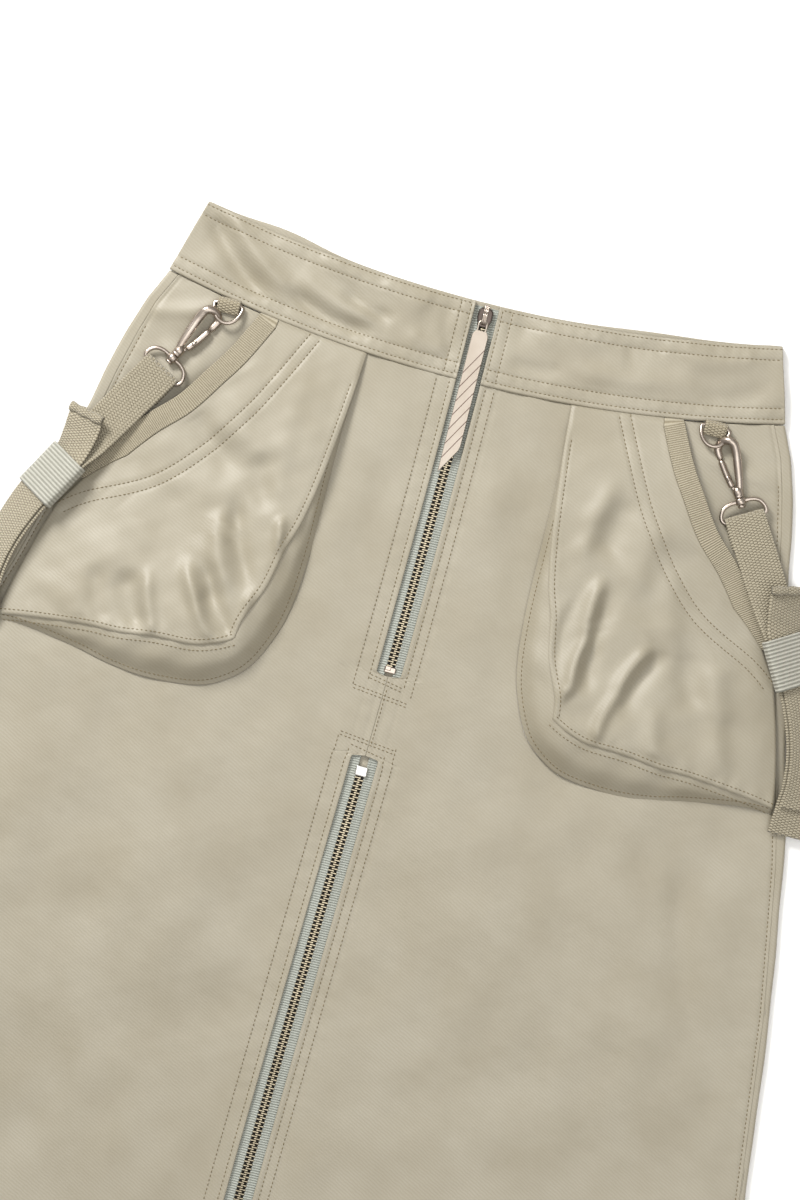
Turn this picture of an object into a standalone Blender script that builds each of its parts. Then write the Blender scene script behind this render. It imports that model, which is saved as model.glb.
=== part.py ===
"""Cargo utility skirt, laid flat with its front up.

Lay coordinates are in millimetres: s runs across the skirt, positive to the right as seen from
above, t runs down the skirt from the waist edge at the centre front, and z is the height above
the surface. The function at() turns them into metres in the part's own frame.
"""

from collections import namedtuple
from math import cos, pi, radians, sin

import bmesh
import bpy
from mathutils import Vector

# Driving dimensions, in millimetres.
skirtLength = 850.0
hemRise = 20.0
waistHalf = 171.0
waistTopRise = 17.6
seamDrop = 46.0
seamHalf = 183.0
seamRise = 21.0
seamGap = 0.3
pocketDrop = 1.1
backDrop = 0.7
hemSway = -16.5
swayLength = 760.0
clothThickness = 1.2
backThickness = 1.0
tapeBase = 1.3
tapeThickness = 1.0
frontBase = 2.6
frontTop = frontBase + clothThickness
bandThickness = 2.4
zipHalfGap = 7.3
zipTapeHalf = 13.0
chainHalf = 2.7
chainTop = 3.4
upperZipEnd = 221.0
lowerZipStart = 273.0
upperTape = (2, 228)
lowerTape = (264, 846)
upperSlider = 3.0
lowerSlider = 808.0
lowerStop = 277.0
bindingWidth = 12.0
bindingThickness = 1.5
pocketBase = frontTop + seamGap
webbingHalf = 11.8
webbingThickness = 1.3
layerStep = webbingThickness + 0.7
clipAngle = 29.5
clipCollar = (167.7, 72.7, 7.6)
keeperLength = 30.0
keeperWall = 1.2
keeperEase = 0.8
tailShift = 1.5

middleLength = (skirtLength - waistTopRise) / 2

Width = namedtuple("Width", "t half inset")
widths = [
    Width(-18, 171, 3.5),
    Width(20, 181, 7.0),
    Width(45, 193, 7.0),
    Width(65, 199, 7.0),
    Width(90, 205, 7.0),
    Width(112, 209, 7.0),
    Width(150, 219, 7.0),
    Width(210, 233.5, 7.0),
    Width(255, 246.5, 6.0),
    Width(276, 251, 5.0),
    Width(360, 267, 4.0),
    Width(850, 340, 4.0),
]

Gap = namedtuple("Gap", "t half")
frontGaps = [
    Gap(-20, zipHalfGap),
    Gap(upperZipEnd, zipHalfGap),
    Gap(226, 0.15),
    Gap(268, 0.15),
    Gap(lowerZipStart, 8.0),
    Gap(900, 8.0),
]

Edge = namedtuple("Edge", "s t rise")
pocketInnerEdge = [
    Edge(61, 44.0, 0.0),
    Edge(62, 60, 2.2),
    Edge(64, 84, 5.0),
    Edge(68, 120, 8.0),
    Edge(72.8, 148, 10.0),
    Edge(78.5, 167, 11.5),
    Edge(83.5, 190, 13.0),
    Edge(92, 211, 14.0),
    Edge(94, 223.5, 14.0),
]
pocketBottomEdge = [
    Edge(94, 223.5, 14.0),
    Edge(105, 229, 14.0),
    Edge(118, 232.5, 14.0),
    Edge(140, 233.5, 13.0),
    Edge(160, 236, 11.5),
    Edge(180, 236.5, 9.5),
    Edge(213, 240, 5.5),
    Edge(231, 243, 2.4),
]
pocketMouthEdge = [
    Edge(126, 37.0, 0.0),
    Edge(137, 60, 4.5),
    Edge(147, 76, 6.6),
    Edge(160, 95, 6.0),
    Edge(177, 112, 3.2),
    Edge(195, 135, 1.5),
    Edge(206, 153, 0.8),
]
pocketSideEdge = [
    Edge(213.5, 172, 0.6),
    Edge(222, 200, 1.0),
    Edge(228, 225, 1.8),
    Edge(231, 243, 2.4),
]

Gusset = namedtuple("Gusset", "topS topT baseS baseT rise")
gussetRows = [
    Gusset(62, 62, 62, 62, 2.3),
    Gusset(64, 84, 63.5, 84, 5.0),
    Gusset(68, 120, 64, 122, 8.0),
    Gusset(72.8, 148, 64, 150, 10.0),
    Gusset(78.5, 167, 64.5, 170, 11.5),
    Gusset(83.5, 190, 66.5, 194, 13.0),
    Gusset(92, 211, 71, 214, 14.0),
    Gusset(94, 223.5, 82, 237, 14.0),
    Gusset(105, 229, 98, 250.5, 14.0),
    Gusset(118, 232.5, 114, 256, 14.0),
    Gusset(140, 233.5, 140, 257.8, 13.0),
    Gusset(160, 236, 162, 255.5, 11.5),
    Gusset(180, 236.5, 182, 251, 9.5),
    Gusset(213, 240, 213, 246, 5.5),
    Gusset(230, 242.5, 231, 246, 2.6),
]

StrapRow = namedtuple("StrapRow", "s t z roll")
strapRows = [
    StrapRow(182, 97, 10.2, 0),
    StrapRow(192, 113.5, 10.6, 4),
    StrapRow(202, 130, 10.6, 12),
    StrapRow(210.5, 144, 10.5, 25),
    StrapRow(218.5, 158, 10.4, 25),
    StrapRow(226.5, 172, 10.3, 25),
    StrapRow(234, 190, 9.6, 30),
    StrapRow(239.5, 208, 9.2, 30),
    StrapRow(242.5, 226, 9.6, 22),
    StrapRow(243, 240, 9.2, 8),
    StrapRow(243, 256, 6.0, 0),
]
tailRows = [StrapRow(206, 119, 10.8, 20), StrapRow(207.5, 131, 10.6, 24), *strapRows[3:-1]]
strapUnder = (16.5, 12.5)
keeperCentre = 4

Flute = namedtuple("Flute", "share width height")
hemFlutes = [
    Flute(-0.78, 0.10, 2.0),
    Flute(-0.42, 0.13, 1.8),
    Flute(0.38, 0.12, 2.2),
    Flute(0.74, 0.11, 1.8),
]

colours = {
    "twill": (0.53, 0.48, 0.36),
    "band": (0.50, 0.45, 0.33),
    "binding": (0.46, 0.41, 0.30),
    "webbing": (0.44, 0.38, 0.28),
    "elastic": (0.72, 0.70, 0.62),
    "tape": (0.49, 0.49, 0.41),
    "teeth": (0.57, 0.52, 0.40),
    "nickel": (0.62, 0.54, 0.48),
    "blade": (0.78, 0.70, 0.61),
    "slider": (0.15, 0.12, 0.10),
}


def clearScene():
    for obj in list(bpy.data.objects):
        bpy.data.objects.remove(obj)


def at(s, t, z):
    """A lay coordinate in metres, in the part's own frame."""
    return Vector((s - hemSway, middleLength - t, z)) / 1000


def material(name, metallic, roughness):
    made = bpy.data.materials.new(name)
    made.use_nodes = True
    shader = made.node_tree.nodes["Principled BSDF"]
    shader.inputs["Base Color"].default_value = (*colours[name], 1)
    shader.inputs["Metallic"].default_value = metallic
    shader.inputs["Roughness"].default_value = roughness
    return made


def addMesh(name, points, faces, finish, smooth=False):
    """A closed mesh whose faces point outwards."""
    mesh = bpy.data.meshes.new(name)
    mesh.from_pydata(points, [], faces)
    shape = bmesh.new()
    shape.from_mesh(mesh)
    bmesh.ops.recalc_face_normals(shape, faces=shape.faces)
    bmesh.ops.triangulate(shape, faces=shape.faces)
    shape.to_mesh(mesh)
    shape.free()
    mesh.materials.append(finish)
    if smooth:
        mesh.shade_smooth()
    obj = bpy.data.objects.new(name, mesh)
    bpy.context.scene.collection.objects.link(obj)
    return obj


def slab(name, upper, lower, finish):
    """A wall between two grids of points of the same size."""
    rows, columns = len(upper), len(upper[0])
    points = [p for row in upper for p in row] + [p for row in lower for p in row]
    below = rows * columns
    faces = []
    for r in range(rows - 1):
        for c in range(columns - 1):
            a = r * columns + c
            quad = (a, a + 1, a + columns + 1, a + columns)
            faces.append(quad)
            faces.append(tuple(below + i for i in reversed(quad)))
    rim = [c for c in range(columns)]
    rim += [r * columns + columns - 1 for r in range(1, rows)]
    rim += [(rows - 1) * columns + c for c in range(columns - 2, -1, -1)]
    rim += [r * columns for r in range(rows - 2, 0, -1)]
    for a, b in zip(rim, rim[1:] + rim[:1]):
        faces.append((a, below + a, below + b, b))
    return addMesh(name, points, faces, finish)


def loft(name, rings, finish, closed=False, smooth=True):
    """A tube through rings of points, joined end to end or capped."""
    count = len(rings[0])
    points = [p for ring in rings for p in ring]
    faces = []
    spans = len(rings) if closed else len(rings) - 1
    for r in range(spans):
        here, there = r * count, (r + 1) % len(rings) * count
        for i in range(count):
            j = (i + 1) % count
            faces.append((here + i, here + j, there + j, there + i))
    if not closed:
        faces.append(tuple(range(count)))
        faces.append(tuple(range(len(points) - count, len(points))))
    return addMesh(name, points, faces, finish, smooth)


def tube(name, path, radius, finish, closed=False, sides=8, flat=1.0):
    """A round wire along a path; flat is its height over its width."""
    rings = []
    for i, point in enumerate(path):
        if closed:
            ahead = path[(i + 1) % len(path)] - path[i - 1]
        else:
            ahead = path[min(i + 1, len(path) - 1)] - path[max(i - 1, 0)]
        ahead.normalize()
        across = ahead.cross(Vector((0, 0, 1))).normalized()
        up = across.cross(ahead)
        ring = []
        for k in range(sides):
            turn = 2 * pi * (k + 0.5) / sides
            ring.append(point + (across * cos(turn) + up * sin(turn) * flat) * radius / 1000)
        rings.append(ring)
    return loft(name, rings, finish, closed)


def join(keep, other):
    """Keep becomes the union of both; the other stays as its hidden cutter."""
    cut = keep.modifiers.new("union", "BOOLEAN")
    cut.operation = "UNION"
    cut.object = other
    other.hide_render = True
    other.display_type = "WIRE"


def smoothCurve(rows, steps):
    """Points on a Catmull-Rom curve through the rows, the rows among them."""
    found = []
    for i in range(len(rows) - 1):
        a, b = rows[max(i - 1, 0)], rows[i]
        c, d = rows[i + 1], rows[min(i + 2, len(rows) - 1)]
        for k in range(steps):
            x = k / steps
            found.append(b + ((c - a) * x + (2 * a - 5 * b + 4 * c - d) * x**2
                              + (3 * b - a - 3 * c + d) * x**3) / 2)
    return found + [rows[-1]]


def resample(points, count):
    """Count points spread evenly along a run of points."""
    lengths = [0.0]
    for a, b in zip(points, points[1:]):
        lengths.append(lengths[-1] + (b - a).length)
    found, span = [], 0
    for k in range(count):
        target = lengths[-1] * k / (count - 1)
        while span < len(points) - 2 and lengths[span + 1] < target:
            span += 1
        share = (target - lengths[span]) / (lengths[span + 1] - lengths[span])
        found.append(points[span].lerp(points[span + 1], min(share, 1)))
    return found


def column(rows, key, name):
    """The named column of a table at t = key, on straight lines between rows."""
    for a, b in zip(rows, rows[1:]):
        if key <= b.t:
            share = max((key - a.t) / (b.t - a.t), 0)
            return getattr(a, name) + (getattr(b, name) - getattr(a, name)) * share
    return getattr(rows[-1], name)


def sway(t):
    """The centre front's lean to one side as the skirt lies."""
    return hemSway * (1 - cos(pi * min(max(t, 0) / swayLength, 1))) / 2


def seamAt(share):
    return seamDrop - seamRise * share**2


def hemAt(share):
    return skirtLength - hemRise * share**2


centreRows = [46, 70, 100, 130, 160, 190, 210, 221, 226, 247, 268, 273, 310, 360, 420, 490,
              560, 630, 700, 775, 850]


def layAt(share, row, outermost=1.0):
    """Height down the skirt at a share of the half width, for a row's height at the centre."""
    down = (row - seamDrop) / (skirtLength - seamDrop)
    top = seamAt(share * outermost) + seamGap
    return top + (hemAt(share) - top) * down


def fluteAt(share, t):
    """Soft swells that grow towards the hem."""
    grow = min(max((t - 330) / 400, 0), 1)
    return grow * sum(f.height * max(1 - ((share - f.share) / f.width) ** 2, 0) ** 2
                      for f in hemFlutes)


def makePanels(twill):
    frontReach = 1 - column(widths, seamAt(1), "inset") / column(widths, seamAt(1), "half")
    frontShares = [0, 0.06, 0.16, 0.26, 0.36, 0.42, 0.5, 0.62, 0.7, 0.78, 0.9, 1]
    for side, name in ((-1, "front_left_panel"), (1, "front_right_panel")):
        upper, lower = [], []
        for row in centreRows:
            high, low = [], []
            for share in frontShares:
                t = layAt(share, row, frontReach) + seamGap
                inner = column(frontGaps, t, "half")
                outer = column(widths, t, "half") - column(widths, t, "inset")
                s = sway(t) + side * (inner + (outer - inner) * share)
                swell = fluteAt(side * share, t)
                high.append(at(s, t, frontTop + swell))
                low.append(at(s, t, frontBase + swell))
            upper.append(high)
            lower.append(low)
        slab(name, upper, lower, twill)
    # The back wraps over both side edges and ends at the front's side seams.
    # Each row of the wrap: distance in from the edge, outer height, inner height, wall across.
    wrapEnd = (frontTop, frontBase, 0)
    wrap = [(1.9, frontTop, frontBase, 0), (0.6, 3.3, 2.4, 0.65), (0, 1.9, 1.9, 1.0),
            (0.6, 0.5, 1.2, 0.65), (1.9, 0, backThickness, 0)]
    flatShares = [0.92, 0.8, 0.66, 0.5, 0.33, 0.16, 0]
    flatShares += [-share for share in reversed(flatShares[:-1])]
    outerRows, innerRows = [], []
    for row in centreRows:
        outside, inside = [], []
        t = layAt(1, row) + backDrop
        half = column(widths, t, "half")
        inset = column(widths, t, "inset") - seamGap
        for side in (1, -1):
            run = []
            for back, outZ, inZ, thick in [(inset - seamGap, *wrapEnd)] + wrap:
                edgeT = layAt(1 - back / half, row) + backDrop
                out = sway(edgeT) + side * (column(widths, edgeT, "half") - back)
                run.append((at(out, edgeT, outZ), at(out - side * thick, edgeT, inZ)))
            if side == 1:
                outside += [p for p, q in run]
                inside += [q for p, q in run]
                for share in flatShares:
                    downT = layAt(abs(share), row)
                    s = sway(downT) + share * column(widths, downT, "half")
                    outside.append(at(s, downT + backDrop, 0))
                    inside.append(at(s, downT + backDrop, backThickness))
            else:
                outside += [p for p, q in reversed(run)]
                inside += [q for p, q in reversed(run)]
        outerRows.append(outside)
        innerRows.append(inside)
    slab("back_panel", outerRows, innerRows, twill)


def bandPoint(side, share, down, inner):
    """A point of the waistband: share runs from the centre to the side, down from edge to seam."""
    top = -waistTopRise * share**2
    t = top + (seamAt(share) - top) * down
    half = waistHalf + (column(widths, seamAt(1), "half") - waistHalf) * down
    return sway(t) + side * (inner + (half - inner) * share), t


def makeWaistband(finish):
    shares = [0, 0.12, 0.25, 0.4, 0.55, 0.7, 0.82, 0.92, 1]
    for side, name in ((-1, "waistband_front_left"), (1, "waistband_front_right")):
        upper, lower = [], []
        for down in (0, 0.3, 0.7, 1):
            spots = [bandPoint(side, share, down, zipHalfGap) for share in shares]
            upper.append([at(s, t, frontBase + bandThickness) for s, t in spots])
            lower.append([at(s, t, frontBase) for s, t in spots])
        slab(name, upper, lower, finish)
    upper, lower = [], []
    for down in (0, 0.5, 1):
        high, low = [], []
        for share in [-x for x in reversed(shares)] + shares[1:]:
            s, t = bandPoint(1 if share >= 0 else -1, abs(share), down, 0)
            thick = frontBase - seamGap if abs(share) > 0.9 else backThickness
            high.append(at(s, t, thick))
            low.append(at(s, t, 0))
        upper.append(high)
        lower.append(low)
    slab("waistband_back", upper, lower, finish)


def strip(name, start, end, inner, outer, base, top, finish):
    """A flat strip down the centre front, between two distances from the centre line."""
    steps = max(int((end - start) / 50), 2)
    upper, lower = [], []
    for k in range(steps + 1):
        t = start + (end - start) * k / steps
        upper.append([at(sway(t) + x, t, top) for x in (inner, outer)])
        lower.append([at(sway(t) + x, t, base) for x in (inner, outer)])
    return slab(name, upper, lower, finish)


def box(name, s0, s1, t0, t1, z0, z1, finish):
    upper = [[at(s, t, z1) for s in (s0, s1)] for t in (t0, t1)]
    lower = [[at(s, t, z0) for s in (s0, s1)] for t in (t0, t1)]
    return slab(name, upper, lower, finish)


zipPull = {
    "axisOffset": 7.5,
    "axisZ": 5.75,
    "barRadius": 0.6,
    "archHalf": 2.4,
    "archWire": 0.6,
    "archTop": 7.1,
    "eyeHalf": 1.6,
    "eyeEnd": 4.6,
    "neckHalf": 3.2,
}


def makeSlider(name, start, finish):
    """A slider over the chain's end, with the arch that holds the pull."""
    middle = sway(start)
    plate = []
    for t, half in ((0, 2.6), (1.5, 4.2), (7, 4.2), (11, 3.4)):
        plate.append([at(middle - half, start + t, 3.7), at(middle + half, start + t, 3.7),
                      at(middle + half * 0.8, start + t, 4.9),
                      at(middle - half * 0.8, start + t, 4.9)])
    body = loft(name, plate, finish, smooth=False)
    post = box(name + "_post", middle - 2, middle + 2, start + 0.6, start + 4.2,
               tapeBase, 4.3, finish)
    axis = start + zipPull["axisOffset"]
    arch = []
    for k in range(9):
        turn = pi * k / 8
        arch.append(at(middle, axis - zipPull["archHalf"] * cos(turn),
                       4.6 + (zipPull["archTop"] - 4.6) * sin(turn) ** 0.6))
    bridge = []
    for i, point in enumerate(arch):
        ahead = (arch[min(i + 1, 8)] - arch[max(i - 1, 0)]).normalized()
        across = Vector((1, 0, 0))
        up = across.cross(ahead)
        ring = []
        for k in range(6):
            turn = 2 * pi * k / 6
            ring.append(point + (across * cos(turn) * 1.3 + up * sin(turn))
                        * zipPull["archWire"] / 1000)
        bridge.append(ring)
    bow = loft(name + "_bow", bridge, finish)
    join(body, post)
    join(body, bow)
    return axis


def makePull(name, middle, axis, outline, finish):
    """A flat pull on a bar through the slider's arch; the outline runs round the blade."""
    half = zipPull["barRadius"]
    eye, neck = zipPull["eyeHalf"], zipPull["neckHalf"]
    low, high = zipPull["axisZ"] - half, zipPull["axisZ"] + half
    outer = [(-neck, -half), (neck, -half), (neck, zipPull["eyeEnd"] + 1.2)]
    outer += outline
    outer += [(-neck, zipPull["eyeEnd"] + 1.2)]
    hole = [(-eye, half), (eye, half), (eye, zipPull["eyeEnd"]), (-eye, zipPull["eyeEnd"])]
    shape = bmesh.new()
    rims = []
    for z in (low, high):
        rims.append([[shape.verts.new(at(middle + s, axis + t, z)) for s, t in run]
                     for run in (outer, hole)])
    for rim in rims:
        edges = []
        for run in rim:
            edges += [shape.edges.new((a, b)) for a, b in zip(run, run[1:] + run[:1])]
        bmesh.ops.triangle_fill(shape, edges=edges, use_beauty=True)
    for under, over in zip(*rims):
        for i in range(len(under)):
            j = (i + 1) % len(under)
            shape.faces.new((under[i], under[j], over[j], over[i]))
    bmesh.ops.recalc_face_normals(shape, faces=shape.faces)
    mesh = bpy.data.meshes.new(name)
    shape.to_mesh(mesh)
    shape.free()
    mesh.materials.append(finish)
    pivot = at(middle, axis, zipPull["axisZ"])
    for vertex in mesh.vertices:
        vertex.co -= pivot
    obj = bpy.data.objects.new(name, mesh)
    obj.location = pivot
    bpy.context.scene.collection.objects.link(obj)


def makeZips(tape, teeth, nickel, dark, blade):
    tapeTop = tapeBase + tapeThickness
    for zipName, (start, end) in (("zip_upper", upperTape), ("zip_lower", lowerTape)):
        for side, hand in ((-1, "left"), (1, "right")):
            strip(f"{zipName}_tape_{hand}", start, end, side * (chainHalf + seamGap),
                  side * zipTapeHalf, tapeBase, tapeTop, tape)
    strip("zip_upper_chain", upperSlider + 4.5, upperZipEnd - 3.3, -chainHalf, chainHalf,
          tapeBase, chainTop, teeth)
    stopMiddle = sway(upperZipEnd)
    box("zip_upper_stop", stopMiddle - 2.6, stopMiddle + 2.6, upperZipEnd - 3, upperZipEnd,
        tapeBase, 3.7, nickel)
    axis = makeSlider("zip_upper_slider", upperSlider, dark)
    makePull("zip_upper_pull", sway(upperSlider), axis,
             [(4.6, 9.0), (4.6, 75), (-4.8, 91), (-4.8, 9.0)], blade)
    middle = sway(lowerStop)
    box("zip_lower_stop", middle - 3.5, middle + 3.5, lowerStop, lowerStop + 6, 2.6, 4.2, nickel)
    strip("zip_lower_chain", lowerStop + 0.4, lowerSlider, -chainHalf, chainHalf,
          tapeBase, tapeBase + tapeThickness, teeth)
    axis = makeSlider("zip_lower_slider", lowerSlider, dark)
    makePull("zip_lower_pull", sway(lowerSlider), axis,
             [(4.0, 9.0), (4.0, 24), (2.4, 27), (-2.4, 27), (-4.0, 24), (-4.0, 9.0)], blade)


def edgeCurve(rows, steps=6):
    return smoothCurve([Vector((e.s, e.t, e.rise)) for e in rows], steps)


def pocketPatch(columns, mouthRows, sideRows):
    """Points of the pocket front in s, t and rise, blended between its four edges."""
    mouth = resample(edgeCurve(pocketMouthEdge), mouthRows)
    inset = []
    for i, point in enumerate(mouth):
        ahead = mouth[min(i + 1, len(mouth) - 1)] - mouth[max(i - 1, 0)]
        ahead.z = 0
        ahead.normalize()
        width = (bindingWidth + seamGap) * min(1, 0.35 + 3.2 * (1 - i / (len(mouth) - 1)))
        inset.append(point + Vector((-ahead.y, ahead.x, 0)) * width)
    for point in (mouth[0], inset[0]):
        point.y = seamAt(point.x / seamHalf) + pocketDrop
    outer = inset + resample(edgeCurve(pocketSideEdge), sideRows)
    rows = len(outer)
    inner = resample(edgeCurve(pocketInnerEdge), rows)
    bottom = resample(edgeCurve(pocketBottomEdge), columns)
    top = [inner[0].lerp(outer[0], k / (columns - 1)) for k in range(columns)]
    for point in top:
        point.y = seamAt(point.x / seamHalf) + pocketDrop
    inner[0], outer[0] = top[0], top[-1]
    grid = []
    for r in range(rows):
        v = r / (rows - 1)
        line = []
        for c in range(columns):
            u = c / (columns - 1)
            across = inner[r].lerp(outer[r], u)
            down = top[c].lerp(bottom[c], v)
            corners = top[0].lerp(top[-1], u).lerp(bottom[0].lerp(bottom[-1], u), v)
            line.append(across + down - corners)
        grid.append(line)
    binding = (mouth, inset)
    return grid, binding


def makePockets(twill, bindingFinish):
    grid, (mouth, inset) = pocketPatch(11, 9, 5)
    for side, hand in ((-1, "left"), (1, "right")):
        upper = [[at(side * p.x, p.y, pocketBase + p.z + clothThickness) for p in row]
                 for row in grid]
        lower = [[at(side * p.x, p.y, pocketBase + p.z) for p in row] for row in grid]
        slab(f"pocket_front_{hand}", upper, lower, twill)
        upper, lower = [], []
        for i in range(len(mouth)):
            away = (inset[i] - mouth[i]).normalized()
            near = inset[i] - away * seamGap
            pair = (mouth[i], mouth[i].lerp(near, 0.5), near)
            upper.append([at(side * p.x, p.y, pocketBase + p.z + bindingThickness)
                          for p in pair])
            lower.append([at(side * p.x, p.y, pocketBase + p.z) for p in pair])
        slab(f"pocket_binding_{hand}", upper, lower, bindingFinish)
        makeGusset(side, hand, twill)


def makeGusset(side, hand, twill):
    """The folded side wall, from under the pocket front's edge down to its base seam."""
    tuck = 2.0
    rows = [Vector((g.topS, g.topT, g.rise)) for g in gussetRows]
    bases = [Vector((g.baseS, g.baseT, 0)) for g in gussetRows]
    tops, feet = smoothCurve(rows, 2), smoothCurve(bases, 2)
    outside, inside = [], []
    for i, (top, foot) in enumerate(zip(tops, feet)):
        ahead = tops[min(i + 1, len(tops) - 1)] - tops[max(i - 1, 0)]
        away = Vector((-ahead.y, ahead.x, 0)).normalized()
        head = top + away * tuck
        height = pocketBase + top.z - seamGap
        sill = frontTop + seamGap
        reach = (foot - head).xy.length
        middle = head.lerp(foot, 0.45)
        wall = clothThickness
        run = [(head, height), (middle, sill + (height - sill) * 0.62), (foot, sill)]
        under = [(head + away * wall * 1.1, height), (middle + away * wall,
                 max(sill + (height - sill) * 0.62 - wall * reach / (reach + 8), sill)),
                 (foot + away * wall * 1.6, sill)]
        outside.append([at(side * p.x, p.y, z) for p, z in run])
        inside.append([at(side * p.x, p.y, z) for p, z in under])
    slab(f"pocket_gusset_{hand}", outside, inside, twill)


def ribbon(name, path, half, thickness, finish, columns=2):
    """A flat strip along a path of centre points and across directions."""
    upper, lower = [], []
    for i, (point, across) in enumerate(path):
        ahead = path[min(i + 1, len(path) - 1)][0] - path[max(i - 1, 0)][0]
        normal = across.cross(ahead).normalized() * thickness / 2000
        spots = [point + across * half / 1000 * (2 * c / (columns - 1) - 1)
                 for c in range(columns)]
        upper.append([spot + normal for spot in spots])
        lower.append([spot - normal for spot in spots])
    return slab(name, upper, lower, finish)


ring = {
    "centre": 145.0,
    "bar": 36.4,
    "barZ": 6.5,
    "half": 8.35,
    "depth": 12.0,
    "bowZ": 9.5,
    "wire": 0.9,
    "loopHalf": 5.0,
    "loopWall": 1.0,
}


def makeRing(side, hand, nickel, webbing):
    """A D-ring on its tape loop, which hangs from the waist seam."""
    wire = []
    corner = 2.2
    tilt = (ring["bowZ"] - ring["barZ"]) / ring["depth"]
    for k in range(-3, 4):
        wire.append((k / 3 * (ring["half"] - corner), 0))
    for k in range(0, 15):
        turn = pi * k / 14
        wire.append((ring["half"] * cos(turn), corner * 0.6
                     + (ring["depth"] - corner * 0.6) * sin(turn)))
    path = [at(side * (ring["centre"] + x), ring["bar"] + y, ring["barZ"] + y * tilt)
            for x, y in wire]
    tube(f"d_ring_{hand}", path, ring["wire"], nickel, closed=True, sides=6)
    reach = ring["wire"] + seamGap + ring["loopWall"] / 2
    start = seamAt(ring["centre"] / seamHalf) + 1.4
    turns = [(start, 6.4), (start + 0.7, 7.6)]
    for k in range(7):
        turn = pi * (0.5 - k / 6)
        turns.append((ring["bar"] + reach * cos(turn), ring["barZ"] + reach * sin(turn)))
    turns += [(start, 4.75)]
    across = Vector((side, 0, 0))
    path = [(at(side * ring["centre"], t, z), across) for t, z in turns]
    ribbon(f"ring_loop_{hand}", path, ring["loopHalf"], ring["loopWall"], webbing)


def clipPoint(side, x, y, z):
    """A point in the clip's own frame: x towards the centre front, y towards the D-ring."""
    s = clipCollar[0] - x * cos(radians(clipAngle)) - y * sin(radians(clipAngle))
    t = clipCollar[1] + x * sin(radians(clipAngle)) - y * cos(radians(clipAngle))
    return at(side * s, t, clipCollar[2] + z)


def turned(name, side, profile, finish, closed=False, sides=10):
    """A turned shape on the clip's long axis, from rows of place and radius."""
    rings = []
    for y, radius in profile:
        loop = []
        for k in range(sides):
            turn = 2 * pi * k / sides
            loop.append(clipPoint(side, radius * cos(turn), y, radius * sin(turn)))
        rings.append(loop)
    return loft(name, rings, finish, closed)


hook = {
    "bendX": -0.5,
    "bendY": 30.5,
    "bendRadius": 6.0,
    "wire": 1.4,
    "pivotX": 2.4,
    "pivotY": 5.2,
    "noseY": 26.2,
    "gateWire": 1.15,
    "loopHalf": 13.2,
    "loopWire": 1.0,
    "loopBar": -12.6,
    "loopBarZ": -0.2,
}


def makeClip(side, hand, nickel):
    """A snap hook on a swivel D loop, with its sprung gate."""
    path = [Vector((-0.9, 2.5, 0)), Vector((-3.0, 8, 0.3)), Vector((-5.2, 17, 0.8)),
            Vector((-6.4, 26, 1.4))]
    heights = [2.4, 2.8, 2.8, 2.2, 1.0, -0.4, -1.5, -1.9, -1.9]
    for k, z in enumerate(heights):
        turn = pi - pi * k / 8
        path.append(Vector((hook["bendX"] + hook["bendRadius"] * cos(turn),
                            hook["bendY"] + hook["bendRadius"] * sin(turn), z)))
    path.append(Vector((5.3, hook["noseY"], -1.7)))
    wire = [clipPoint(side, *p) for p in smoothCurve(path, 2)]
    body = turned(f"hook_{hand}", side, [(4.6, 1.5), (3.6, 2.2), (-0.6, 2.2), (-0.6, 1.0),
                                        (-5.0, 1.0), (-5.0, 1.9), (-6.4, 1.9), (-6.8, 1.2)],
                  nickel)
    join(body, tube(f"hook_bow_{hand}", wire, hook["wire"], nickel))
    gate = [Vector((hook["pivotX"], hook["pivotY"], -0.2)), Vector((4.1, 15, -0.9)),
            Vector((5.2, hook["noseY"] - 0.5, -1.6))]
    path = [clipPoint(side, *p) for p in smoothCurve(gate, 3)]
    pivot = clipPoint(side, hook["pivotX"], hook["pivotY"], 0)
    made = tube(f"hook_gate_{hand}", path, hook["gateWire"], nickel, sides=6)
    for vertex in made.data.vertices:
        vertex.co -= pivot
    made.location = pivot
    boss = turned(f"hook_loop_{hand}", side, [(-1.0, 1.35), (-1.0, 3.0), (-4.6, 3.0),
                                             (-4.6, 1.35)], nickel, closed=True)
    bar = hook["loopBar"]
    wide = hook["loopHalf"]
    turnRows = [(2.2, -2.8), (6.5, -2.9), (10.6, -4.6), (12.9, -8.0), (wide, bar + 1.6)]
    loop = [Vector((x, y, 0)) for x, y in turnRows]
    loop.append(Vector((wide - 1.2, bar, hook["loopBarZ"])))
    half = smoothCurve(loop, 3)
    wire = half + [Vector((-p.x, p.y, p.z)) for p in reversed(half)]
    join(boss, tube(f"hook_loop_wire_{hand}", [clipPoint(side, *p) for p in wire],
                    hook["loopWire"], nickel, sides=6))


def strapLine(side, rows, lift, shift):
    """Centre points and across directions of a strap layer, lifted off its own face."""
    centres = [Vector((r.s, r.t, r.z)) for r in rows]
    path = []
    curve = smoothCurve(centres, 2)
    rolls = smoothCurve([Vector((r.roll, 0, 0)) for r in rows], 2)
    for i, point in enumerate(curve):
        ahead = (curve[min(i + 1, len(curve) - 1)] - curve[max(i - 1, 0)]).normalized()
        flatAcross = Vector((ahead.y, -ahead.x, 0)).normalized()
        turn = radians(rolls[i].x)
        across = flatAcross * cos(turn) + Vector((0, 0, -1)) * sin(turn)
        normal = flatAcross * sin(turn) + Vector((0, 0, 1)) * cos(turn)
        spot = point + normal * lift + across * shift
        path.append((at(side * spot.x, spot.y, spot.z),
                     Vector((side * across.x, -across.y, across.z))))
    return path


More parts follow.
